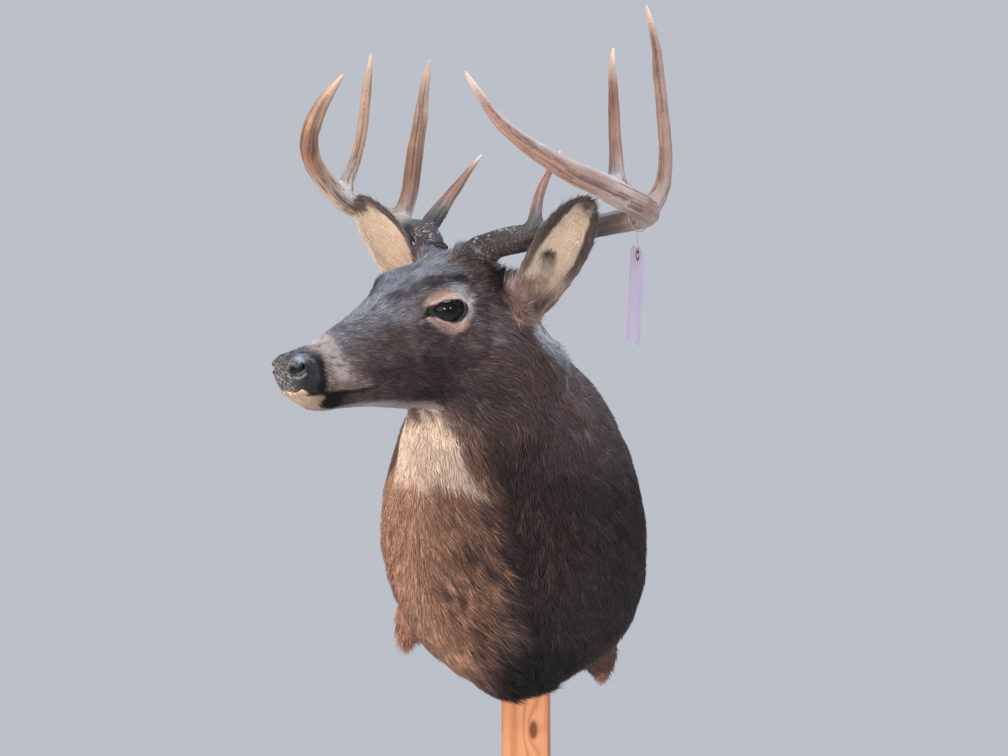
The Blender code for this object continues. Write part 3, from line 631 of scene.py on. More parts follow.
def body_marks(paint, places, normals, head, ragged):
    """Neck, chest and shoulders. Gives where the white throat lies, and how near its lower edge that is."""
    x, y, z = places.T * 1000
    wide = layered(places * 16, 2, 4)
    streaks = layered(np.stack(((x + 0.45 * z) / 7, y / 7, z / 42), axis=1), 3, 9)
    lie = flow(places, normals)
    tufts = combed(places, lie, 0.012)
    locks, gaps = combed(places, lie, 0.013, 0.93), combed(places, lie, 0.0052, 0.95)
    front, low_front = ramp(-205, -235, y), ramp(-95, -125, y)
    throat_side = x - (15 - 0.34 * (z - 12))
    # the neck's left side, turned from the key lamp, painted dark: painted shade, over a patchy darker tone
    paint("neck dark", 0.85 * ramp(-30, 30, x - 22 + 0.10 * (z + 60)) * ramp(150, 30, z) + 0.2 * wide)
    # the tan chest, its locks and the dark gaps between them
    # partly the coat's own tan, partly painted warm light and shade
    # the tan lies on the chest's right side, which faces the key lamp, and darkens towards the middle:
    edge = np.interp(z, CHEST_HEIGHTS, CHEST_EDGE)
    chest = ramp(9, -9, x - edge + 8 + 9 * ragged + 9 * streaks + 22 * tufts) * ramp(-70, -120, y)
    chest = chest * ramp(64, 36, z + 0.12 * x + 6 * ragged)
    lower = ramp(30, -60, z) * ramp(-95, -25, x)
    paint("chest", chest)
    paint("chest dark", chest * ramp(-95, -15, x + 0.15 * z + 10 * streaks) * 0.5)
    paint("chest dark", chest * lower * ramp(0.05, 0.7, locks) * 0.6)
    # black in the gaps between the big locks: painted shade
    paint("black brown", chest * ramp(0.12, 0.6, gaps + 0.35 * locks + 0.2 * streaks) * lower * 0.9)
    paint("chest", 0.42 * ramp(36, 6, throat_side + 8 * streaks) * ramp(10, 40, z) * ramp(135, 90, z) * front)
    paint("neck", ramp(60, 110, -x + 0.1 * z) * ramp(-190, -110, y) * 0.75)
    # the neck's upward-facing top tinted grey-blue: painted light from above
    paint("nape", 0.75 * ramp(0.25, 0.8, normals[:, 2]) * ramp(120, 200, z))
    # a bluish white streak down the nape: a painted highlight of cool light grazing the neck
    paint("nape pale", 0.9 * ramp(30, 6, off_line(places * 1000, NAPE_SHEEN) + 8 * ragged))
    # the dark lower end of the chest, and the pale hide by the forelegs
    low = ramp(-140, -172, z + 5 * ragged) * ramp(-16, 8, x + 8 * streaks) * low_front
    paint("black brown", low)
    paint("black", 0.3 * low)
    across = np.abs(x - 12)
    paint("black", ramp(-200, -212, z + 7 * ragged + 0.10 * across) * low_front * ramp(75, 55, across))
    pit = ramp(-140, -165, z + 5 * ragged) * ramp(-120, -92, y) * ramp(45, 85, np.abs(x))
    legs = leg_share(places)
    paint("armpit", np.where(x > 0, 0.15, 0.5) * pit)
    flap = np.where(x > 0, 0.7 * ramp(-188, -204, z + 4 * ragged), 0.6 * ramp(-118, -150, x + 6 * ragged))
    paint("armpit", legs * flap)
    paint("neck dark", 0.55 * pit * ramp(0.0, 0.8, streaks) * (1 - legs))
    # a pale streak along the neck fold's ridge: a painted highlight
    ridge = off_line(places * 1000, ((106, -333, 196), *NECK_FOLD))
    paint("nape pale", 0.4 * bell(ridge / 9) * ramp(-0.1, 0.6, streaks))
    # a grey-blue tone high on the left shoulder: a painted sheen of cool light from that side
    paint("nape", 0.32 * ramp(70, 120, x) * ramp(20, 110, z) * ramp(-0.7, 0.6, ragged))
    throat = ramp(9, -5, throat_side + 5 * ragged) * ramp(-7, 9, z - (31 - 0.12 * x) + 7 * ragged)
    throat = throat * front * ramp(-128, -108, x + 6 * ragged) * ramp(0.35, 0.1, normals[:, 2])
    return throat * (1 - on_face(head, ragged)), ramp(66, 30, z + 0.12 * x)


def face_marks(paint, places, normals, head, ragged, throat, throat_foot):
    """Forehead, cheeks, muzzle, jaw and chin. Gives where the pale lip runs up to the nose."""
    half = mirrored(head)
    ahead, _, up = head.T
    out = half[:, 1]
    crown = normals @ AXES[:, 2]
    skull = head_share(head)
    paint("face", on_face(head, ragged))
    # the head's upward-facing top paler and greyer: partly the coat's greying, partly painted light from
    # above
    paint("face grey", 0.8 * ramp(0.1, 0.75, crown) * skull * ramp(175, 120, ahead))
    paint("face grey", 0.6 * ramp(80, 130, ahead) * ramp(-50, -20, up))
    # a dark band along the brow: painted shade under the brow's ridge
    paint("face dark", 0.9 * ramp(12, 3, off_line(half, BROW_LINE) + 3 * ragged))
    for share, place, size in FACE_SHADOWS:
        paint("face dark", share * blob(half, place, size))
    mottle = layered(places * 120, 3, 33) * skull
    paint("face grey", (0.08 + 0.46 * ramp(-70, -30, up)) * ramp(0.1, 1.0, mottle))
    paint("face dark", 0.55 * ramp(-0.1, -0.9, mottle))
    patches = ramp(0.05, 0.8, layered(places * 48, 3, 35)) * skull * (1 - ramp(120, 145, ahead))
    paint("face dark", 0.4 * patches * ramp(-50, -20, up))
    # dark round the antlers' feet: a painted shadow under the antlers
    foot = np.maximum(blob(half, (-72, 54, 38), (20, 20, 18)), 0.8 * blob(half, (-50, 40, 62), (16, 16, 16)))
    paint("black brown", 0.8 * ramp(0.25, 0.6, foot + 0.1 * ragged))
    paint("muzzle", 0.85 * ramp(-0.72, -0.93, crown) * (up < -80) * ramp(-70, -20, ahead))
    paint("throat", throat)
    paint("chest", 0.35 * throat * throat_foot)
    # the muzzle's pale band, grizzled towards its edges, then the lips and the chin
    paint("muzzle tan", 0.7 * ramp(95, 140, ahead) * ramp(-78, -64, up) * ramp(-34, -52, up))
    behind = np.abs(ahead - (153 - 0.38 * np.maximum(-26 - up, 0)))
    band = ramp(23, 7, behind + 6 * ragged) * ramp(-74, -56, up + 5 * ragged)
    paint("muzzle", 0.95 * band)
    speckle = ramp(0.0, 0.5, layered(places * 260, 2, 77) + 0.5 * ramp(150, 128, ahead) - 0.2)
    paint("face", 0.7 * band * speckle)
    paint("black", ramp(160, 167, ahead + 2 * ragged) * ramp(-30, -42, up))
    paint("face dark", 0.7 * ramp(110, 140, ahead) * ramp(-78, -81, up) * ramp(-102, -94, up))
    paint("muzzle tan", 0.5 * ramp(6, 2, off_line(half, LIP_LINE) + 2 * ragged))
    line = 165 + 0.30 * (up + 78)
    chin = ramp(line - 4, line + 4, ahead + 2.5 * ragged) * ramp(-76, -80, up)
    paint("chin", chin)
    paint("muzzle tan", 0.6 * chin * ramp(184, 166, ahead + 3 * ragged))
    lip_top = -76 + 7 * bell((ahead - 188) / 4) * ramp(26, 20, out)
    lip = ramp(181, 186, ahead + ragged) * ramp(1.5, -1.5, up - lip_top + ragged)
    paint("chin", lip)
    spot = ramp(17, 12, np.abs(ahead - 153 + 0.25 * (up + 88)) + 2 * ragged)
    paint("black", spot * ramp(-76, -78, up) * ramp(10, 18, out) * ramp(-102, -97, up))
    return lip


def nose_marks(paint, places, normals, head, ragged, lip):
    """The nose's bare pad, with painted highlights on it, and the mouth. Gives where the pad lies."""
    half = mirrored(head)
    ahead, _, up = head.T
    out = half[:, 1]
    pad_edge = 178 - 9 * ramp(6, 26, out) + 5 * ramp(-56, -70, up)
    pad = ramp(-2.5, 2.5, ahead - pad_edge + ragged) * ramp(-78, -74, up + 1.5 * ragged) * (1 - lip)
    paint("nose", pad)
    paint("black", pad * ramp(15, 22, out) * ramp(194, 184, ahead))
    # the pad's upward-facing top in pale grey: a painted highlight of light from above
    top = ramp(0.3, 0.8, normals @ AXES[:, 2]) * ramp(-0.4, 0.6, layered(places * 300, 2, 58))
    paint("nose pale", 0.6 * pad * top)
    # pale flecks on the pad's front: painted highlights on its moist, pebbled skin
    front = ramp(0.35, 0.75, normals @ AXES[:, 0]) * ramp(186, 194, ahead) * ramp(-34, -46, up)
    flecked = front * ramp(18, 13, out) * ramp(-0.25, 0.6, layered(places * 640, 2, 55))
    paint("nose pale", 0.75 * pad * flecked)
    # a pale line along the nostril's wing and a spot above the nostril: painted highlights
    wing_highlight = bell(off_line(half, ((199, 19, -57), (193, 25, -57), (187, 27, -53))) / 1.6)
    paint("nape pale", pad * np.maximum(0.55 * wing_highlight, 0.5 * blob(half, (190, 19, -36), (6, 6, 5))))
    paint("black", ramp(3.4, 1.6, off_line(half, MOUTH_LINE)) * ramp(192, 184, ahead))
    return pad


def eye_marks(paint, head, ragged):
    """The pale ring, its white upper edge and the tear streak. Gives where the lids are bare and black."""
    rims = np.zeros(len(head))
    for side, sign in SIDES.items():
        view = eye_view(head, side)
        forward, out, up = view.T
        near = (out > -16) & (np.linalg.norm(view, axis=1) < 60)
        reach = lid_reach(view)
        ring = (np.abs((forward - 3) / RING_LONG) ** 2.2 + np.abs(up / RING_HIGH) ** 2.2) ** (1 / 2.2)
        paint("ring", ramp(1.12, 0.84, ring + 0.12 * ragged) * near * (0.72 + 0.28 * ramp(20, -10, forward)))
        paint("face dark", 0.8 * ramp(4.5, 1.5, off_line(head * (1, sign, 1), TEAR_LINE)))
        angle = np.arctan2(up, -forward)
        white = 0.9 * ramp(-0.2, 0.4, angle) * ramp(2.0, 1.2, angle + 0.3 * ragged)
        white = white * ramp(1.22, 0.92, ring + 0.14 * ragged)
        line = ramp(-0.7, -0.2, angle) * ramp(1.2, 0.6, angle) * bell((reach - 1.44) / 0.12)
        paint("ring white", np.maximum(white, 0.7 * line) * near)
        pit = off_line(view, ((20, 8, -1), (28, 6, -1), (35, 3, -3), (39, 1, -7)))
        corner = np.hypot((forward - 21) / 15, (up - 1) / 8.5)
        dark = np.maximum(ramp(1.38, 1.14, reach + 0.05 * ragged), ramp(4.6, 2.6, pit))
        dark = np.maximum(dark, ramp(1.15, 0.75, corner + 0.08 * ragged)) * near
        paint("black", dark)
        rims = np.maximum(rims, dark)
    return rims


def ear_marks(paint, places, normals, head, ragged):
    """Dark backs and rims, pale cups with a dark tuft, and the paler roots."""
    half = mirrored(head)
    ahead, _, up = head.T
    ear, inner = ear_masks(places, normals)
    rim, along = ear_place(places)
    inside = ear * inner
    paint("ear back", ear * (1 - inner))
    paint("ear inner", inside)
    dark = ramp(0.92, 1.08, rim + 0.12 * ragged) * ramp(0.08, 0.36, along + 0.05 * ragged)
    dark = np.maximum(dark, ramp(0.88, 0.99, along + 0.05 * ragged))
    paint("ear rim", 0.9 * inside * dark)
    paint("ear base", 0.45 * inside * dark * ramp(0.6, 0.3, along))
    for sign in SIDES.values():
        tuft = off_line(head * (1, sign, 1), EAR_TUFT)
        paint("ear rim", 0.95 * inside * ramp(13.0, 6.0, tuft + 3 * ragged))
    root = np.maximum(blob(half, (-94, 74, 6), (24, 20, 24)), blob(half, (-108, 82, 4), (22, 22, 22)))
    cup = inside * ramp(-84, -92, ahead + 0.25 * (up - 20)) * ramp(0.15, 0.3, along)
    paint("ear base", 0.75 * ramp(0.2, 0.7, root + 0.15 * ragged) * (1 - cup))
    pale_root = ramp(0.1, 0.75, blob(half, (-116, 98, 18), (20, 24, 24)) + 0.12 * ragged)
    paint("ear inner", 0.65 * pale_root * ramp(-86, -96, ahead))
    # a dark patch between the antler's foot and the ear: a painted shadow under the antler
    paint("black brown", 0.85 * ramp(0.15, 0.6, blob(half, (-78, 72, 32), (15, 13, 13))))
    paint("face", 0.75 * ear * ramp(6, -8, up + 3 * ragged))


def markings(places, normals):
    """The coat's colour at each point, and whether the point is bare skin."""
    colours = np.tile(COAT["neck"], (len(places), 1))

    def paint(name, share):
        nonlocal colours
        colours = blend(colours, COAT[name], np.clip(share, 0, 1)[:, None])

    head = to_head(places)
    ragged = layered(places * 60, 3, 2)
    throat, throat_foot = body_marks(paint, places, normals, head, ragged)
    lip = face_marks(paint, places, normals, head, ragged, throat, throat_foot)
    pad = nose_marks(paint, places, normals, head, ragged, lip)
    rims = eye_marks(paint, head, ragged)
    ear_marks(paint, places, normals, head, ragged)
    return colours, np.clip(np.maximum(pad, rims), 0, 1)


# ---- the coat

# Locks per square centimetre, and how many locks go into one piece
LONG_DENSITY, SHORT_DENSITY, LONG_PER_PIECE, SHORT_PER_PIECE = 26, 100, 18500, 46000
# The hair's length and how steeply it stands, in millimetres and radians, and locks' widths for some lengths
HAIR = {
    "body": 21, "face": 10, "front": 9, "hem": 8, "ear back": 8, "ear cup": 11, "ear root": 5, "lids": 3.6,
}
LIFT = {"body": 0.20, "ear": 0.12}
WIDTH_AT = (3, 8, 20, 30), (0.45, 0.92, 1.35, 1.6)


def flow(places, normals):
    """Which way the hair lies: back over the face, down the throat and chest, back and down the sides."""
    head = to_head(places)
    forward, left, up = AXES.T
    x, _, z = places.T * 1000
    sign = np.sign(head[:, 1])[:, None]
    face = -forward - 0.30 * up * ramp(10, -60, head[:, 2])[:, None] + 0.25 * sign * left
    lean = (0.35 + 0.5 * ramp(60, -120, z)) * ramp(60, 20, x) - 0.25 * ramp(20, 90, x)
    lean = lean * ramp(-105, -50, x)
    throat = np.stack((lean * ramp(140, 90, z), np.full(len(x), 0.25), np.full(len(x), -1.0)), axis=1)
    body = blend(throat, np.array((0.0, 0.75, -0.75)), ramp(30, 130, np.abs(x - 5))[:, None])
    body[:, 0] += 0.75 * ramp(-110, -60, x) * ramp(55, 15, x) * ramp(60, 0, z)
    body = blend(body, np.array((0.0, 1.0, -0.1)), ramp(0.2, 0.8, normals[:, 2])[:, None])
    lie = blend(body, face, head_share(head, -135, -15)[:, None])
    ear, _ = ear_masks(places, normals)
    eye = np.zeros(len(places))
    for side, turn in SIDES.items():
        lie = blend(lie, ear_axes(side)[0] @ AXES.T, (ear * (head[:, 1] * turn > 0))[:, None])
        view = eye_view(head, side)
        eye = np.maximum(eye, ramp(2.0, 1.3, lid_reach(view)) * (view[:, 1] > -10))
    crown = blob(mirrored(head), (-62, 36, 46), (26, 24, 22))[:, None]
    lie = blend(lie, up - forward * 0.4 + 0.5 * sign * left, 0.8 * crown)
    chest = ramp(-95, -40, x) * ramp(70, 30, x) * ramp(20, -60, z)
    wander = wavering(places, 22, 30) * (0.28 + 0.25 * chest[:, None]) + wavering(places, 80, 40) * 0.16
    lie = lie + wander * (1 - 0.6 * eye[:, None])
    return unit(lie - normals * (lie * normals).sum(axis=1)[:, None])


def triangle_arrays(mesh):
    mesh.calc_loop_triangles()
    triangles = np.empty(len(mesh.loop_triangles) * 3, np.int32)
    mesh.loop_triangles.foreach_get("vertices", triangles)
    return triangles.reshape(-1, 3)


def scattered(triangles, wanted, random, *fields):
    """Fields of the vertices, read at points strewn over the triangles, about `wanted` points on each."""
    face = np.repeat(np.arange(len(wanted)), np.floor(wanted + random.random(len(wanted))).astype(int))
    u, v = random.random(len(face)), random.random(len(face))
    flip = u + v > 1
    u[flip], v[flip] = 1 - u[flip], 1 - v[flip]
    weights = np.stack((1 - u - v, u, v), axis=1)[:, :, None]
    return [(field[triangles[face]] * weights).sum(axis=1) for field in fields]


def tuft_mesh(name, locks, shares, random):
    """Closed three-sided locks, each lying along the hair and tapering to a point, with a ring of corners at
    each of `shares` of its length but the last."""
    roots, normals, lie, length, width, lift, colours = locks
    count, rows = len(roots), len(shares) - 1
    stride = rows * 3 + 1
    across = unit(np.cross(normals, lie))
    swing = (random.random(count) - 0.5) * 0.5
    verts = np.empty((count, stride, 3), np.float32)
    for row, share in enumerate(shares):
        rise = np.sin(lift) * share * (1.25 - 0.5 * share)
        spine = roots + lie * (length * share * np.cos(lift))[:, None] + normals * (length * rise)[:, None]
        spine = spine + across * (length * swing * share * share)[:, None]
        if row == 0:
            spine = spine - normals * (0.35 * width)[:, None] - lie * (0.5 * width)[:, None]
        if row == rows:
            verts[:, -1] = spine
            break
        size = width * (1.0 if row == 0 else 0.8)
        verts[:, row * 3] = spine + across * (size * 0.5)[:, None]
        verts[:, row * 3 + 1] = spine - across * (size * 0.5)[:, None]
        verts[:, row * 3 + 2] = spine + normals * (size * 0.42)[:, None]
    faces = [(2, 1, 0)]
    for k in range(0, rows * 3 - 3, 3):
        for i, j in ((0, 1), (1, 2), (2, 0)):
            faces += [(k + i, k + j, k + 3 + j), (k + i, k + 3 + j, k + 3 + i)]
    k = rows * 3 - 3
    faces = np.array(faces + [(k + i, k + (i + 1) % 3, k + 3) for i in range(3)])
    triangles = (np.arange(count)[:, None, None] * stride + faces[None]).reshape(-1, 3)
    mesh = bpy.data.meshes.new(name)
    mesh.vertices.add(count * stride)
    mesh.vertices.foreach_set("co", verts.ravel())
    mesh.loops.add(triangles.size)
    mesh.loops.foreach_set("vertex_index", triangles.ravel().astype(np.int32))
    mesh.polygons.add(len(triangles))
    mesh.polygons.foreach_set("loop_start", np.arange(0, triangles.size, 3, dtype=np.int32))
    mesh.polygons.foreach_set("use_smooth", np.ones(len(triangles), bool))
    mesh.update(calc_edges=True)
    set_colours(mesh, "Coat", np.repeat(colours, stride, axis=0))
    set_values(mesh, "along", np.tile(np.repeat(shares, [3] * rows + [1]), count))
    set_values(mesh, "lock", np.repeat(random.random(count), stride))
    # a small patch for each lock at its root's place on an unwrap of the skin
    u, v = unwrap(roots)
    patch = np.random.default_rng(7).random((stride, 2)) * 0.003
    flat = faces.ravel()
    uv = np.stack((u[:, None] + patch[flat, 0][None], v[:, None] + patch[flat, 1][None]), axis=2)
    mesh.uv_layers.new(name="OFBake").data.foreach_set("uv", uv.astype(np.float32).ravel())
    return mesh


def unwrap(points):
    """Angle round the body's long line, and distance along it from the nose to the wall, each from 0 to 1."""
    ahead, left, up = to_head(points).T
    on_head = ramp(-140, -80, ahead) > 0.5
    angle = np.where(on_head, np.arctan2(left, up + 40), np.arctan2(points[:, 0], points[:, 2] - 0.02))
    along = np.where(on_head, (210 - ahead) / 360 * 0.5, 0.5 + (points[:, 1] + 0.40) / 0.37 * 0.5)
    return 0.01 + 0.97 * (angle / (2 * math.pi) + 0.5), np.clip(0.01 + 0.97 * along, 0.005, 0.99)


def coat_fields(places, normals):
    """The hair's length, width and lift at each point, and how far that point is on the face and an ear."""
    head = to_head(places)
    ear, inner = ear_masks(places, normals)
    x, y, z = (places * 1000).T
    face = face_share(head)
    front = ramp(60, 10, np.abs(x - 5)) * ramp(-150, -220, y) * (1 - face)
    hem = ramp(-190, -212, z) * ramp(-80, -120, y)
    length = blend(HAIR["body"], HAIR["face"], face) * (1 - ramp(60, 150, head[:, 0]) * 0.42)
    uneven = ramp(-0.2, 0.7, value_noise(places * 60, 66))
    length = length + HAIR["front"] * front + HAIR["hem"] * hem * uneven
    length = length * (1 - 0.35 * blob(mirrored(head), (-52, 38, 62), (22, 20, 22)))
    length = length * (1 - 0.35 * ramp(-75, -45, y))
    lift = LIFT["body"] + 0.10 * front + 0.10 * hem + 0.05 * face
    lift = lift + 0.14 * layered(places * 26, 2, 61) * (1 - face)
    root = inner * ramp(0.45, 0.15, ear_place(places)[1])
    length = blend(length, blend(HAIR["ear back"], HAIR["ear cup"], inner) + HAIR["ear root"] * root, ear)
    lift = blend(lift, LIFT["ear"] + 0.06 * inner + 0.10 * root, ear)
    for side in SIDES:
        view = eye_view(head, side)
        length = blend(length, HAIR["lids"], ramp(2.6, 1.25, lid_reach(view)) * (view[:, 1] > -14))
    length = length * (1 - 0.3 * ramp(-150, -175, z) * ramp(-110, -85, y) * ramp(60, 90, np.abs(x)))
    return length * MM, np.interp(length, *WIDTH_AT) * MM, np.clip(lift, 0.08, 0.7), face, ear


def hairy_share(places, normals):
    """1 where hair grows: not on bare skin, in the eyes, along the mouth or against the wall."""
    head = to_head(places)
    eyes = np.zeros(len(places))
    for side in SIDES:
        view = eye_view(head, side)
        eyes = np.maximum(eyes, (lid_reach(view) < 1.3) & (view[:, 1] > -12))
    lips = ramp(1.2, 2.4, off_line(mirrored(head), MOUTH_LINE))
    return ramp(-40, -42, places[:, 1] * 1000) * (1 - markings(places, normals)[1]) * (1 - eyes) * lips


def lock_fields(roots, normals, random):
    """Each lock's lie, size, lift and colour. Clumps of locks lift and grow together, above all low on the
    chest;
    raised clumps get painted light and sunken ones painted shade, and some dark locks are grizzled."""
    length, width, lift, face, _ = coat_fields(roots, normals)
    colours, _ = markings(roots, normals)
    lie = flow(roots, normals)
    length = length * (0.7 + 0.6 * random.random(len(roots)))
    # clumps and the chest's big locks that stand higher are made paler, sunken ones darker:
    # partly the coat's streaky tone, partly painted light and shade
    clump = 0.6 * combed(roots, lie, 0.007) + (0.4 + 0.35 * face) * combed(roots, lie, 0.0028)
    chest = ramp(-130, -200, roots[:, 1] * 1000) * ramp(40, -40, roots[:, 2] * 1000) * (1 - face)
    locks = chest * np.clip(1.5 * combed(roots, lie, 0.013, 0.93), -1, 1)
    lift = np.clip(lift + 0.10 * clump + 0.16 * locks, 0.06, 0.8)
    length = length * (1 + 0.25 * locks)
    shade = (0.78 + 0.44 * random.random(len(roots))) * (1 + 0.40 * clump + 0.22 * locks)
    light = colours.mean(axis=1)
    flecked = (random.random(len(roots)) < 0.08 + 0.14 * face) & (light < 0.3) & (light > 0.02)
    shade = np.where(flecked, shade * (1.75 + 0.45 * face), shade)
    shade = 1 + (shade - 1) * np.interp(light, (0.3, 0.75), (1.0, 0.35))
    return roots, normals, lie, length, width, lift, np.clip(colours * shade[:, None], 0, 1)


def build_coat(mesh):
    """Long locks on neck, chest and shoulders, short ones on face and ears, in pieces of bounded size."""
    places, normals, _ = mesh_arrays(mesh)
    triangles = triangle_arrays(mesh)
    a, b, c = (places[triangles[:, k]] for k in range(3))
    square_cm = np.linalg.norm(np.cross(b - a, c - a), axis=1) / 2 * 1e4
    middle, facing = (a + b + c) / 3, normals[triangles].mean(axis=1)
    *_, face, ear = coat_fields(middle, facing)
    short, hairy = np.maximum(face, ear), hairy_share(middle, facing)
    long_density = LONG_DENSITY * (1 - ramp(0.35, 0.75, short)) * hairy
    short_density = SHORT_DENSITY * ramp(0.25, 0.65, short) * (1 - 0.45 * ear) * hairy
    fur = fur_material()
    for kind, density, shares, seed, per_piece in (
        ("coat", long_density, (0.0, 0.5, 1.0), 11, LONG_PER_PIECE),
        ("short_coat", short_density, (0.0, 1.0), 12, SHORT_PER_PIECE),
    ):
        random = np.random.default_rng(seed)
        roots, leaning = scattered(triangles, square_cm * density, random, places, normals)
        order = np.argsort(unwrap(roots)[1])
        fields = lock_fields(roots[order], unit(leaning)[order], random)
        for k, start in enumerate(range(0, len(roots), per_piece)):
            name = f"{kind}_{k + 1}"
            data = tuft_mesh(name, [field[start : start + per_piece] for field in fields], shares, random)
            dress(scene_object(name, data), fur, "coat")


# ---- materials


class Nodes:
    """A material's node tree, with short calls for its nodes and links."""

    def __init__(self, name, roughness, **settings):
        self.material = bpy.data.materials.new(name)
        self.material.use_nodes = True
        self.tree = self.material.node_tree
        self.shader = self.tree.nodes["Principled BSDF"]
        self.shader.inputs["Roughness"].default_value = roughness
        for key, value in settings.items():
            self.shader.inputs[key.replace("_", " ")].default_value = value

    def add(self, kind, **settings):
        node = self.tree.nodes.new(kind)
        for key, value in settings.items():
            setattr(node, key, value)
        return node

    def feed(self, *pairs):
        """Puts a number, a colour or another node's output into each socket."""
        for socket, value in pairs:
            if isinstance(value, (int, float)):
                socket.default_value = value
            elif isinstance(value, (tuple, np.ndarray)):
                socket.default_value = (*value[:3], 1)
            elif value is not None:
                self.tree.links.new(value, socket)

    def attribute(self, name, output="Fac"):
        return self.add("ShaderNodeAttribute", attribute_name=name).outputs[output]

    def stretched(self, scale=(1, 1, 1)):
        """Places in the row's frame, multiplied along each axis."""
        scaled = self.add("ShaderNodeMapping")
        scaled.inputs["Scale"].default_value = scale
        self.feed((scaled.inputs["Vector"], self.add("ShaderNodeTexCoord").outputs["Object"]))
        return scaled.outputs["Vector"]

    def texture(self, kind, scale, vector=None, **settings):
        node = self.add(kind, **settings)
        self.feed((node.inputs["Scale"], scale), (node.inputs["Vector"], vector or self.stretched()))
        return node

    def noise(self, scale, detail=4.0, vector=None):
        node = self.texture("ShaderNodeTexNoise", scale, vector)
        self.feed((node.inputs["Detail"], detail), (node.inputs["Roughness"], 0.55))
        return node.outputs["Fac"]

    def range(self, value, *limits):
        """Carries a value from between the first two limits to between the last two."""
        node = self.add("ShaderNodeMapRange")
        sockets = (node.inputs[name] for name in ("From Min", "From Max", "To Min", "To Max"))
        self.feed((node.inputs["Value"], value), *zip(sockets, limits))
        return node.outputs["Result"]

    def cloud(self, scale, detail, *limits):
        return self.range(self.noise(scale, detail), *limits)

    def maths(self, operation, first, second=0):
        node = self.add("ShaderNodeMath", operation=operation)
        self.feed(*zip(node.inputs, (first, second)))
        return node.outputs[0]

    def times(self, first, second):
        return self.maths("MULTIPLY", first, second)

    def mix(self, share, first, second, blend_type="MIX"):
        node = self.add("ShaderNodeMix", data_type="RGBA", blend_type=blend_type)
        self.feed((node.inputs[0], share), (node.inputs[6], first), (node.inputs[7], second))
        return node.outputs[2]

    def shaded(self, colour, shade):
        """A colour multiplied by a number."""
        grey = self.add("ShaderNodeCombineColor")
        self.feed(*((socket, shade) for socket in grey.inputs[:3]))
        return self.mix(1.0, colour, grey.outputs[0], "MULTIPLY")

    def bump(self, height, distance, strength=1.0, under=None):
        node = self.add("ShaderNodeBump")
        values = {"Distance": distance, "Strength": strength, "Height": height, "Normal": under}
        self.feed(*((node.inputs[name], value) for name, value in values.items()))
        return node.outputs["Normal"]

    def finish(self, colour=None, roughness=None, normal=None):
        values = {"Base Color": colour, "Roughness": roughness, "Normal": normal}
        self.feed(*((self.shader.inputs[name], value) for name, value in values.items()))
        return self.material


def fur_material():
    """Hair: the coat's colour, darker at the root and paler at the tip, with a soft sheen along it."""
    n = Nodes("fur", 0.62, Specular_IOR_Level=0.32)
    tips = n.range(n.attribute("along"), 0.0, 1.0, 0.66, 1.14)
    colour = n.shaded(n.attribute("Coat", "Color"), n.times(tips, n.cloud(900, 3, 0.3, 0.7, 0.86, 1.12)))
    rough = n.range(n.attribute("lock"), 0, 1, 0.5, 0.75)
    return n.finish(colour, rough, n.bump(n.noise(1500, 2), 0.0002, 0.5))


def skin_material():
    """The hide under the coat, and the bare skin of nose, lips and lids: dark, pebbled and a little moist."""
    n = Nodes("hide", 0.7, Specular_IOR_Level=0.4)
    bare = n.attribute("bare")
    colour = n.shaded(n.attribute("Coat", "Color"), n.cloud(260, 4, 0.3, 0.7, 0.7, 1.1))
    pebbles = n.texture("ShaderNodeTexVoronoi", 620, feature="DISTANCE_TO_EDGE").outputs["Distance"]
    height = n.times(n.range(pebbles, 0, 0.3, 0, 1), bare)
    normal = n.bump(height, 0.0005, 0.8, n.bump(n.noise(900, 4), 0.0006, 0.6))
    rough = n.range(n.times(bare, n.cloud(180, 3, 0.3, 0.7, 0.75, 1.1)), 0, 1, 0.8, 0.36)
    return n.finish(colour, rough, normal)


def antler_material():
    """Weathered bone: brown and grooved near the skull, tan along the beams, polished ivory at the tips."""
    n = Nodes("antler_bone", 0.5, Specular_IOR_Level=0.4)
    grains = n.texture("ShaderNodeTexVoronoi", 380).outputs["Distance"]
    grain = n.times(n.range(grains, 0.1, 0.5, 1, 0), n.attribute("rough"))
    shade = n.times(n.cloud(38, 5, 0.3, 0.7, 0.78, 1.14), n.cloud(420, 4, 0.3, 0.7, 0.88, 1.08))
    colour = n.mix(n.times(grain, 0.16), n.shaded(n.attribute("Bone", "Color"), shade), BONE["pearl"])
    normal = n.bump(grain, 0.0012, 0.9, n.bump(n.noise(420, 3), 0.0002, 0.3))
    return n.finish(colour, n.cloud(60, 3, 0.3, 0.7, 0.38, 0.6), normal)


def eye_material():
    """A glass eye: near black with a brown ring round a long pupil, under a clear wet surface."""
    n = Nodes("glass_eye", 0.06, Specular_IOR_Level=0.05, Coat_Weight=1.0, Coat_Roughness=0.01, Coat_IOR=1.3)
    colour = n.shaded(n.attribute("Iris", "Color"), n.cloud(420, 4, 0.35, 0.65, 0.8, 1.15))
    return n.finish(colour, n.cloud(90, 2, 0, 1, 0.03, 0.09))


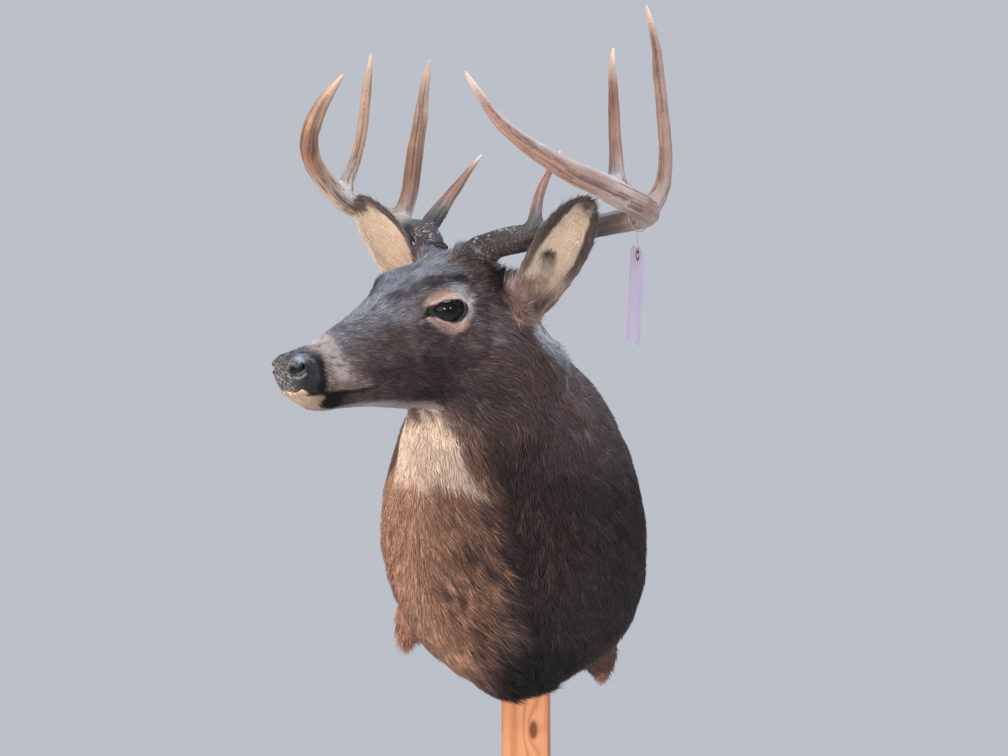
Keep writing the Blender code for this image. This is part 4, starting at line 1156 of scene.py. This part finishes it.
def wood_material(name, pale, dark, knots, rings):
    """Sawn softwood: growth rings bent round knots, fine grain, a little dirt."""
    n = Nodes(name, 0.55, Specular_IOR_Level=0.3)
    parts = n.add("ShaderNodeSeparateXYZ")
    n.feed((parts.inputs[0], n.stretched()))
    across = n.maths("ADD", parts.outputs["X"], n.times(n.noise(9, 3, n.stretched((1.0, 1.0, 0.25))), 0.06))
    spots = 0.0
    for x, z, size in knots:
        dx = n.maths("SUBTRACT", parts.outputs["X"], x)
        dz = n.times(n.maths("SUBTRACT", parts.outputs["Z"], z), 0.45)
        away = n.maths("SQRT", n.maths("ADD", n.times(dx, dx), n.times(dz, dz)))
        near = n.range(away, 0, size * 3.0, 1, 0)
        across = n.maths("ADD", across, n.times(n.times(near, near), 0.03))
        spots = n.maths("MAXIMUM", spots, n.range(away, size * 0.55, size, 1, 0))
    band = n.range(n.maths("SINE", n.times(across, rings * 2 * math.pi)), -0.4, 1.0, 0, 1)
    grain = n.noise(1.0, 5, n.stretched((900, 300, 14)))
    share = n.maths("ADD", n.times(band, 0.55), n.range(grain, 0.3, 0.7, -0.12, 0.2))
    colour = n.mix(spots, n.mix(share, pale, dark), dark * 0.35)
    colour = n.mix(n.cloud(16, 5, 0.45, 0.75, 0, 0.3), colour, dark * 0.6)
    return n.finish(colour, n.range(grain, 0.2, 0.8, 0.45, 0.65), n.bump(grain, 0.0003, 0.5))


def paper_material(name, pale, dark):
    """Card: fibres and soft darker blotches."""
    n = Nodes(name, 0.75, Specular_IOR_Level=0.25)
    fibres = n.noise(1300, 3)
    colour = n.mix(n.cloud(45, 4, 0.4, 0.75, 0, 0.35), pale, dark)
    colour = n.mix(n.range(fibres, 0.4, 0.7, 0, 0.18), colour, dark)
    return n.finish(colour, n.range(fibres, 0, 1, 0.65, 0.85), n.bump(fibres, 0.00012, 0.4))


def string_material():
    """Thin twisted cotton: slanting plies, darker between them, and a few dirty blotches."""
    n = Nodes("string", 0.85, Specular_IOR_Level=0.15)
    plies = n.texture("ShaderNodeTexWave", 420, bands_direction="DIAGONAL").outputs["Fac"]
    colour = n.mix(plies, srgb(120, 112, 108), srgb(214, 206, 200))
    colour = n.mix(n.cloud(300, 3, 0.4, 0.7, 0, 0.4), colour, srgb(130, 116, 108))
    return n.finish(colour, None, n.bump(plies, 0.0003, 0.7))


def stage_material(name, colour):
    n = Nodes(name, 0.9, Specular_IOR_Level=0.1)
    return n.finish(n.shaded(colour, n.cloud(2.0, 2, 0.3, 0.7, 0.98, 1.0)))


# ---- camera and string

CAMERA_PLACE = Vector((0.4825, -2.163, -0.17))
CAMERA_FORWARD, CAMERA_UP = Vector((-0.2284, 0.9588, 0.1688)), Vector((0.0391, -0.1642, 0.9856))

# The string: a turn round the left beam, then down and through the tag's hole
BEAM_PLACE, BEAM_ALONG = Vector((0.219731, -0.404707, 0.319570)), Vector((4.925063, -3.357680, 0.179074))
STRING_REACH, STRING_RADIUS, STRING_DROP, STRING_TURN_STEPS = 0.01666275, 0.6 * MM, 30 * MM, 32
TAG_THICK, TAG_TURN, TAG_LEAN = 0.6 * MM, math.radians(81), math.radians(4)
# The string's way from the knot through the hole: towards the tag's face and up from the hole, in millimetres
STRING_END = ((0, 15), (2.4, 9), (2.6, 3), (1.6, 0), (0, 0), (-1.6, 0), (-2.6, 3), (-2.2, 6))


def build_camera():
    data = bpy.data.cameras.new("camera")
    data.lens, data.sensor_width = 57.14, 36
    data.clip_end = 60
    camera = scene_object("camera", data)
    right = CAMERA_FORWARD.cross(CAMERA_UP).normalized()
    up = right.cross(CAMERA_FORWARD).normalized()
    turn = Matrix((right, up, -CAMERA_FORWARD.normalized())).transposed().to_4x4()
    camera.matrix_world = Matrix.Translation(CAMERA_PLACE) @ turn
    bpy.context.scene.camera = camera


def string_route():
    along = BEAM_ALONG.normalized()
    down = (Vector((0, 0, -1)) + along * along.z).normalized()
    across = along.cross(down).normalized()
    points = []
    for k in range(STRING_TURN_STEPS + 1):
        angle = 2 * math.pi * k / STRING_TURN_STEPS - 0.25
        offset = along * (3 * MM * k / STRING_TURN_STEPS)
        outward = down * math.cos(angle) + across * math.sin(angle)
        points.append(BEAM_PLACE + outward * STRING_REACH + offset)
    foot = points[-1]
    hole = foot + Vector((0, 0, -STRING_DROP))
    face = Vector((math.sin(TAG_TURN), -math.cos(TAG_TURN), 0))
    points += [foot.lerp(hole, 0.25), foot.lerp(hole, 0.42)]
    points += [hole + face * (out * MM) + Vector((0, 0, rise * MM)) for out, rise in STRING_END]
    return points, hole


def build_string(points):
    curve = bpy.data.curves.new("string", "CURVE")
    curve.dimensions, curve.bevel_depth, curve.bevel_resolution = "3D", STRING_RADIUS, 5
    curve.use_fill_caps = True
    line = curve.splines.new("POLY")
    line.points.add(len(points) - 1)
    for spot, point in zip(line.points, points):
        spot.co = (*point, 1)
    return dress(scene_object("string", curve), string_material(), "string", "tag_string")


def ease(node, width, name, material):
    """A CAD solid that stays in sight: its edges eased, and a material of its own."""
    edge = node.modifiers.new(name, "BEVEL")
    edge.width, edge.segments, edge.limit_method = width, 2, "ANGLE"
    node.data.materials.clear()
    node.data.materials.append(material)


def build_tag_patch(hole):
    """The paper tag keeps its CAD solid; its punched hole is lined with a brown fibre patch on both faces."""
    place = Matrix.Translation(hole) @ Matrix.Rotation(TAG_TURN, 4, "Z") @ Matrix.Rotation(TAG_LEAN, 4, "X")
    inner, outer, depth, soft = 3.02 * MM, 6.4 * MM, TAG_THICK / 2 + 0.17 * MM, 0.08 * MM
    profile = (
        (inner, soft - depth), (inner + soft, -depth), (outer - soft, -depth), (outer, soft - depth),
        (outer, depth - soft), (outer - soft, depth), (inner + soft, depth), (inner, depth - soft),
    )
    body = bmesh.new()
    rings, steps = [], 40
    for k in range(steps):
        angle = 2 * math.pi * k / steps
        ring = (Vector((r * math.cos(angle), y, r * math.sin(angle))) for r, y in profile)
        rings.append([body.verts.new(place @ corner) for corner in ring])
    for here, there in zip(rings, rings[1:] + rings[:1]):
        for i in range(len(profile)):
            j = (i + 1) % len(profile)
            body.faces.new((here[i], here[j], there[j], there[i]))
    bmesh.ops.recalc_face_normals(body, faces=body.faces)
    patch = scene_object("tag_patch", meshed("tag_patch", body))
    return dress(patch, paper_material("tag_patch", srgb(128, 72, 52), srgb(90, 48, 36)), "paper")


# ---- eyes

# The pupil's half length and half height in millimetres
PUPIL_LONG, PUPIL_HIGH = 12.5, 6.5
EYE = palette(iris=(17, 12, 10), ball=(14, 11, 11), pupil=(6, 6, 9))


def build_eye(side):
    """A polished ball with a faint brown iris round a long dark pupil."""
    body = bmesh.new()
    bmesh.ops.create_uvsphere(body, u_segments=96, v_segments=64, radius=(EYE_RADIUS - 0.15) * MM)
    mesh = meshed(f"glass_eye_{side}", body)
    places = mesh_arrays(mesh)[0] @ AXES * 1000 * (GLASS_LONG, 1, 1)
    head = places + (EYE_FORWARD - GLASS_BACK, EYE_OUT * SIDES[side], EYE_UP)
    view = eye_view(head, side)
    middle, up = view[:, 0] + GLASS_BACK, view[:, 2]
    angle = np.hypot(middle / GLASS_LONG, up) / EYE_RADIUS
    pupil = ramp(1.05, 0.9, np.hypot(middle / PUPIL_LONG, up / PUPIL_HIGH))[:, None]
    spokes = np.stack((np.arctan2(up, view[:, 0]) * 6, angle * 3, angle * 0), axis=1)
    rays = 0.5 + 0.5 * value_noise(spokes, 3)
    iris = EYE["iris"] * (0.7 + 0.5 * rays)[:, None]
    colours = blend(blend(EYE["ball"], iris, ramp(0.80, 0.70, angle)[:, None]), EYE["pupil"], pupil)
    colours = np.where((view[:, 1] < 0)[:, None], EYE["ball"], colours)
    set_places(mesh, from_head(head))
    set_colours(mesh, "Iris", colours)
    mesh.shade_smooth()
    dress(scene_object(f"glass_eye_{side}", mesh), eye_material(), "glass_eye", f"eye_{side}")


# ---- antlers

TINES = ("brow_tine", "second_tine", "third_tine")
ANTLER_PARTS = ("beam_base", "beam_middle", "beam_tip", *TINES)
# How far down from each point its polish reaches, in metres
POLISH = {"beam_tip": 0.06, "brow_tine": 0.032, "second_tine": 0.05, "third_tine": 0.045}
# The grooves drift round the bone as they run along it
GROOVE_DRIFT = (0.9, 1.3, -0.7)
# The grain's size on the beam and on the burr, and how far from the skull the burr lies and how wide it is
PEARL, BURR_PEARL, BURR_PLACE, BURR_WIDTH = 4 * MM, 8 * MM, 22 * MM, 6 * MM
# Painted light among these: the right beam's warmer, paler colour and the left's darker one stand for
# the key lamp's light and shade, and the fork colour on the beams' tops is a painted sheen
BONE = palette(
    base=(46, 34, 32), bead=(98, 76, 68), pearl=(190, 186, 184), low=(96, 84, 79), left=(152, 120, 106),
    right=(174, 143, 120), red=(138, 90, 70), dark=(86, 58, 54), fork=(190, 187, 184), tip=(210, 184, 162),
)


def walked_distance(places, edges, start):
    """Distance along the surface from the start vertices to every vertex."""
    near = [[] for _ in places]
    lengths = np.linalg.norm(places[edges[:, 0]] - places[edges[:, 1]], axis=1)
    for (a, b), length in zip(edges.tolist(), lengths.tolist()):
        near[a].append((b, length))
        near[b].append((a, length))
    distance = np.full(len(places), 9.0)
    distance[start] = 0
    queue = [(0.0, int(i)) for i in start]
    heapq.heapify(queue)
    while queue:
        so_far, here = heapq.heappop(queue)
        if so_far > distance[here]:
            continue
        for there, length in near[here]:
            if so_far + length < distance[there]:
                distance[there] = so_far + length
                heapq.heappush(queue, (so_far + length, there))
    return distance


def tip_nearness(places, side):
    """1 at a point's tip, falling to 0 some way down the tine."""
    nearness = np.zeros(len(places))
    for part, reach in POLISH.items():
        solid = solid_points(f"antler_{side}_{part}")
        far = solid[np.argmax(solid[:, 2] + 0.4 * np.linalg.norm(solid - solid.mean(axis=0), axis=1))]
        nearness = np.maximum(nearness, ramp(reach, 0.0, np.linalg.norm(places - far, axis=1)))
    return nearness


def tine_share(places, side):
    """How much a place belongs to the free part of the brow tine."""
    solid = solid_points(f"antler_{side}_brow_tine")
    order = np.argsort(solid[:, 2])
    root, tip = solid[order[:8]].mean(axis=0), solid[order[-8:]].mean(axis=0)
    off, along = line_distance(places, (root, tip))
    return ramp(0.12, 0.5, along) * ramp(0.026, 0.014, off)


def build_antler(side):
    """One whole antler: tines and beam run into each other, grooved lengthwise and pearled at the base."""
    nodes = [f"antler_{side}_{part}" for part in ANTLER_PARTS]
    antler = fused(f"bone_{side}", nodes, 0.3 * MM, BONE_VOXEL)
    mesh = antler.data
    places, _, edges = mesh_arrays(mesh)
    places = relaxed(places, edges, 4)
    set_places(mesh, relaxed(places, edges, 24, 0.5 * (1 - tip_nearness(places, side)) ** 3))
    places, normals, edges = mesh_arrays(mesh)
    head = to_head(places)
    foot = np.argsort(head[:, 2] + 0.3 * np.abs(head[:, 1]))[:40]
    distance = walked_distance(places, edges, foot)
    facing = unit(relaxed(normals, edges, 4))

    def grooved(scale, run, seed):
        return value_noise(facing * scale + (distance / run)[:, None] * GROOVE_DRIFT, seed)

    scales = enumerate((2.6, 5.2, 8.0))
    grooves = sum(grooved(scale, 0.11, 70 + k + SIDES[side]) / (1 + 0.6 * k) for k, scale in scales)
    fine = relaxed(grooved(9, 0.07, 78 + SIDES[side]) + 0.7 * grooved(15, 0.05, 79), edges, 1)
    tip, brow = tip_nearness(places, side), tine_share(places, side)
    rough = ramp(0.19, 0.05, distance + 0.03 * value_noise(places * 40, 12)) * (1 - 0.8 * brow)
    # how far each point faces up, more on the right antler, which the key lamp lights: it whitens the pearls
    upward = ramp(0.1, 0.8, facing[:, 2] + (0.5 if side == "right" else 0.0))
    pearls = beads(places / PEARL, 5) ** 1.2 * rough * ramp(-0.6, 0.3, value_noise(places / 0.009, 21))
    burr = bell((distance - BURR_PLACE) / BURR_WIDTH) * beads(places / BURR_PEARL, 9)
    height = (grooves * (0.5 + 0.5 * ramp(0.15, 0.05, distance)) + 0.14 * fine) * (1 - 0.85 * tip)
    height += 1.5 * pearls + 1.6 * burr + 0.5 * layered(places * 45, 2, 6) * (1 - tip)
    places = places + facing * ((height - 0.05) * MM)[:, None]
    set_places(mesh, places)
    forks = np.zeros(len(places))
    for part in TINES:
        solid = solid_points(f"antler_{side}_{part}")
        root = solid[np.argsort(solid[:, 2])[:10]].mean(axis=0)
        forks = np.maximum(forks, blob(places, root, (0.034, 0.034, 0.034)))
    base = ramp(0.17, 0.05, distance) * (1 - brow)
    beam = np.maximum(ramp(0.12, 0.30, distance), brow)
    colours = np.tile(BONE["low"], (len(places), 1))
    for name, share in (
        # each beam in its side's colour: painted light on the right, painted shade on the left
        (side, beam),
        ("red", 0.75 * ramp(-0.2, 0.7, layered(places * 14, 2, 14)) * beam),
        ("dark", 0.75 * ramp(0.0, -1.0, grooves + 0.9 * fine) * beam),
        ("red", 0.6 * brow),
        # pale patches at the forks: partly the bone's paler tone, partly a painted highlight
        ("fork", 0.85 * forks * ramp(-0.9, 0.3, fine) * np.maximum(beam, 0.5) * (1 - 0.5 * brow)),
        # the beams' upward-facing tops in the same pale colour: a painted sheen of light from above
        ("fork", 0.5 * ramp(0.35, 0.85, facing[:, 2]) * ramp(0.1, 0.25, distance) * (1 - brow)),
        ("base", np.clip(base * 0.95 + 0.3 * ramp(0.1, -1.0, fine), 0, 1) * (1 - 0.75 * beam)),
        ("bead", 0.9 * ramp(0.25, 0.65, pearls)),
        # the pearls white where they face up: a painted highlight
        ("pearl", (0.06 + 0.94 * upward) * ramp(0.3, 0.7, pearls)),
        ("tip", tip),
    ):
        colours = blend(colours, BONE[name], share[:, None])
    set_colours(mesh, "Bone", colours)
    set_values(mesh, "rough", rough)
    mesh.shade_smooth()
    dress(antler, antler_material(), "antler", *nodes)


# ---- boards, stage and lights


def finish_boards():
    """The pine board and the panel keep their CAD solids, with eased edges and wood for their finish."""
    low, high = corners("hanging_board")
    middle = (low[0] + high[0]) / 2
    knots = (middle + 0.012, low[2] + 0.052, 0.007), (middle - 0.018, high[2] - 0.1, 0.009)
    pine = wood_material("pine", srgb(208, 146, 104), srgb(172, 104, 68), knots, 70)
    plywood = wood_material("plywood", srgb(190, 150, 112), srgb(150, 110, 76), (), 22)
    for node, wood in (("hanging_board", pine), ("back_panel", plywood)):
        ease(NODES[node], 1.2 * MM, "eased", wood)


# Name, place, size in metres, power in watts and colour of each lamp
LAMPS = (
    ("key", (-2.3, -1.9, -0.35), 1.8, 88, (1.0, 0.86, 0.74)),
    ("sky", (0.9, -0.8, 2.3), 1.4, 64, (0.64, 0.81, 1.0)),
    ("fill", (1.3, -2.8, 0.2), 2.0, 18, (1.0, 0.96, 0.94)),
    ("window_left", (2.0, -2.1, 0.3), 0.36, 12, (1.0, 0.98, 0.96)),
    ("window_right", (2.5, -1.1, 0.5), 0.24, 5, (0.90, 0.95, 1.0)),
)
LAMPS_AIM = Vector((0.0, -0.25, 0.1))


def build_stage():
    body = bmesh.new()
    bmesh.ops.create_grid(body, x_segments=24, y_segments=24, size=11)
    floor = scene_object("floor", meshed("floor", body))
    floor.location = (0, 0, CAD_BOX[0][2] - 0.9)
    floor.data.materials.append(stage_material("floor", (0.80, 0.80, 0.80)))
    world = bpy.data.worlds.new("studio")
    bpy.context.scene.world = world
    world.use_nodes = True
    air = world.node_tree.nodes["Background"].inputs
    air["Color"].default_value, air["Strength"].default_value = (0.76, 0.80, 0.88, 1), 0.66
    for name, place, size, power, colour in LAMPS:
        data = bpy.data.lights.new(name, "AREA")
        data.shape, data.size, data.energy, data.color = "DISK", size, power, colour
        lamp = scene_object(name, data)
        lamp.location = place
        lamp.rotation_euler = (LAMPS_AIM - Vector(place)).to_track_quat("-Z", "Y").to_euler()


# ---- the whole


def main():
    bpy.context.scene.view_settings.view_transform = "Standard"
    build_camera()
    points, hole = string_route()
    string = build_string(points)
    tag, patch = NODES["tag"], build_tag_patch(hole)
    ease(tag, 0.12 * MM, "worn", paper_material("tag_card", srgb(184, 172, 188), srgb(142, 128, 144)))
    skin = build_skin()
    places, normals, _ = mesh_arrays(skin.data)
    colours, bare = markings(places, normals)
    set_colours(skin.data, "Coat", colours)
    set_values(skin.data, "bare", bare)
    dress(skin, skin_material(), "coat", *FLESH)
    build_coat(skin.data)
    for side in SIDES:
        build_eye(side)
        build_antler(side)
    finish_boards()
    build_stage()


main()
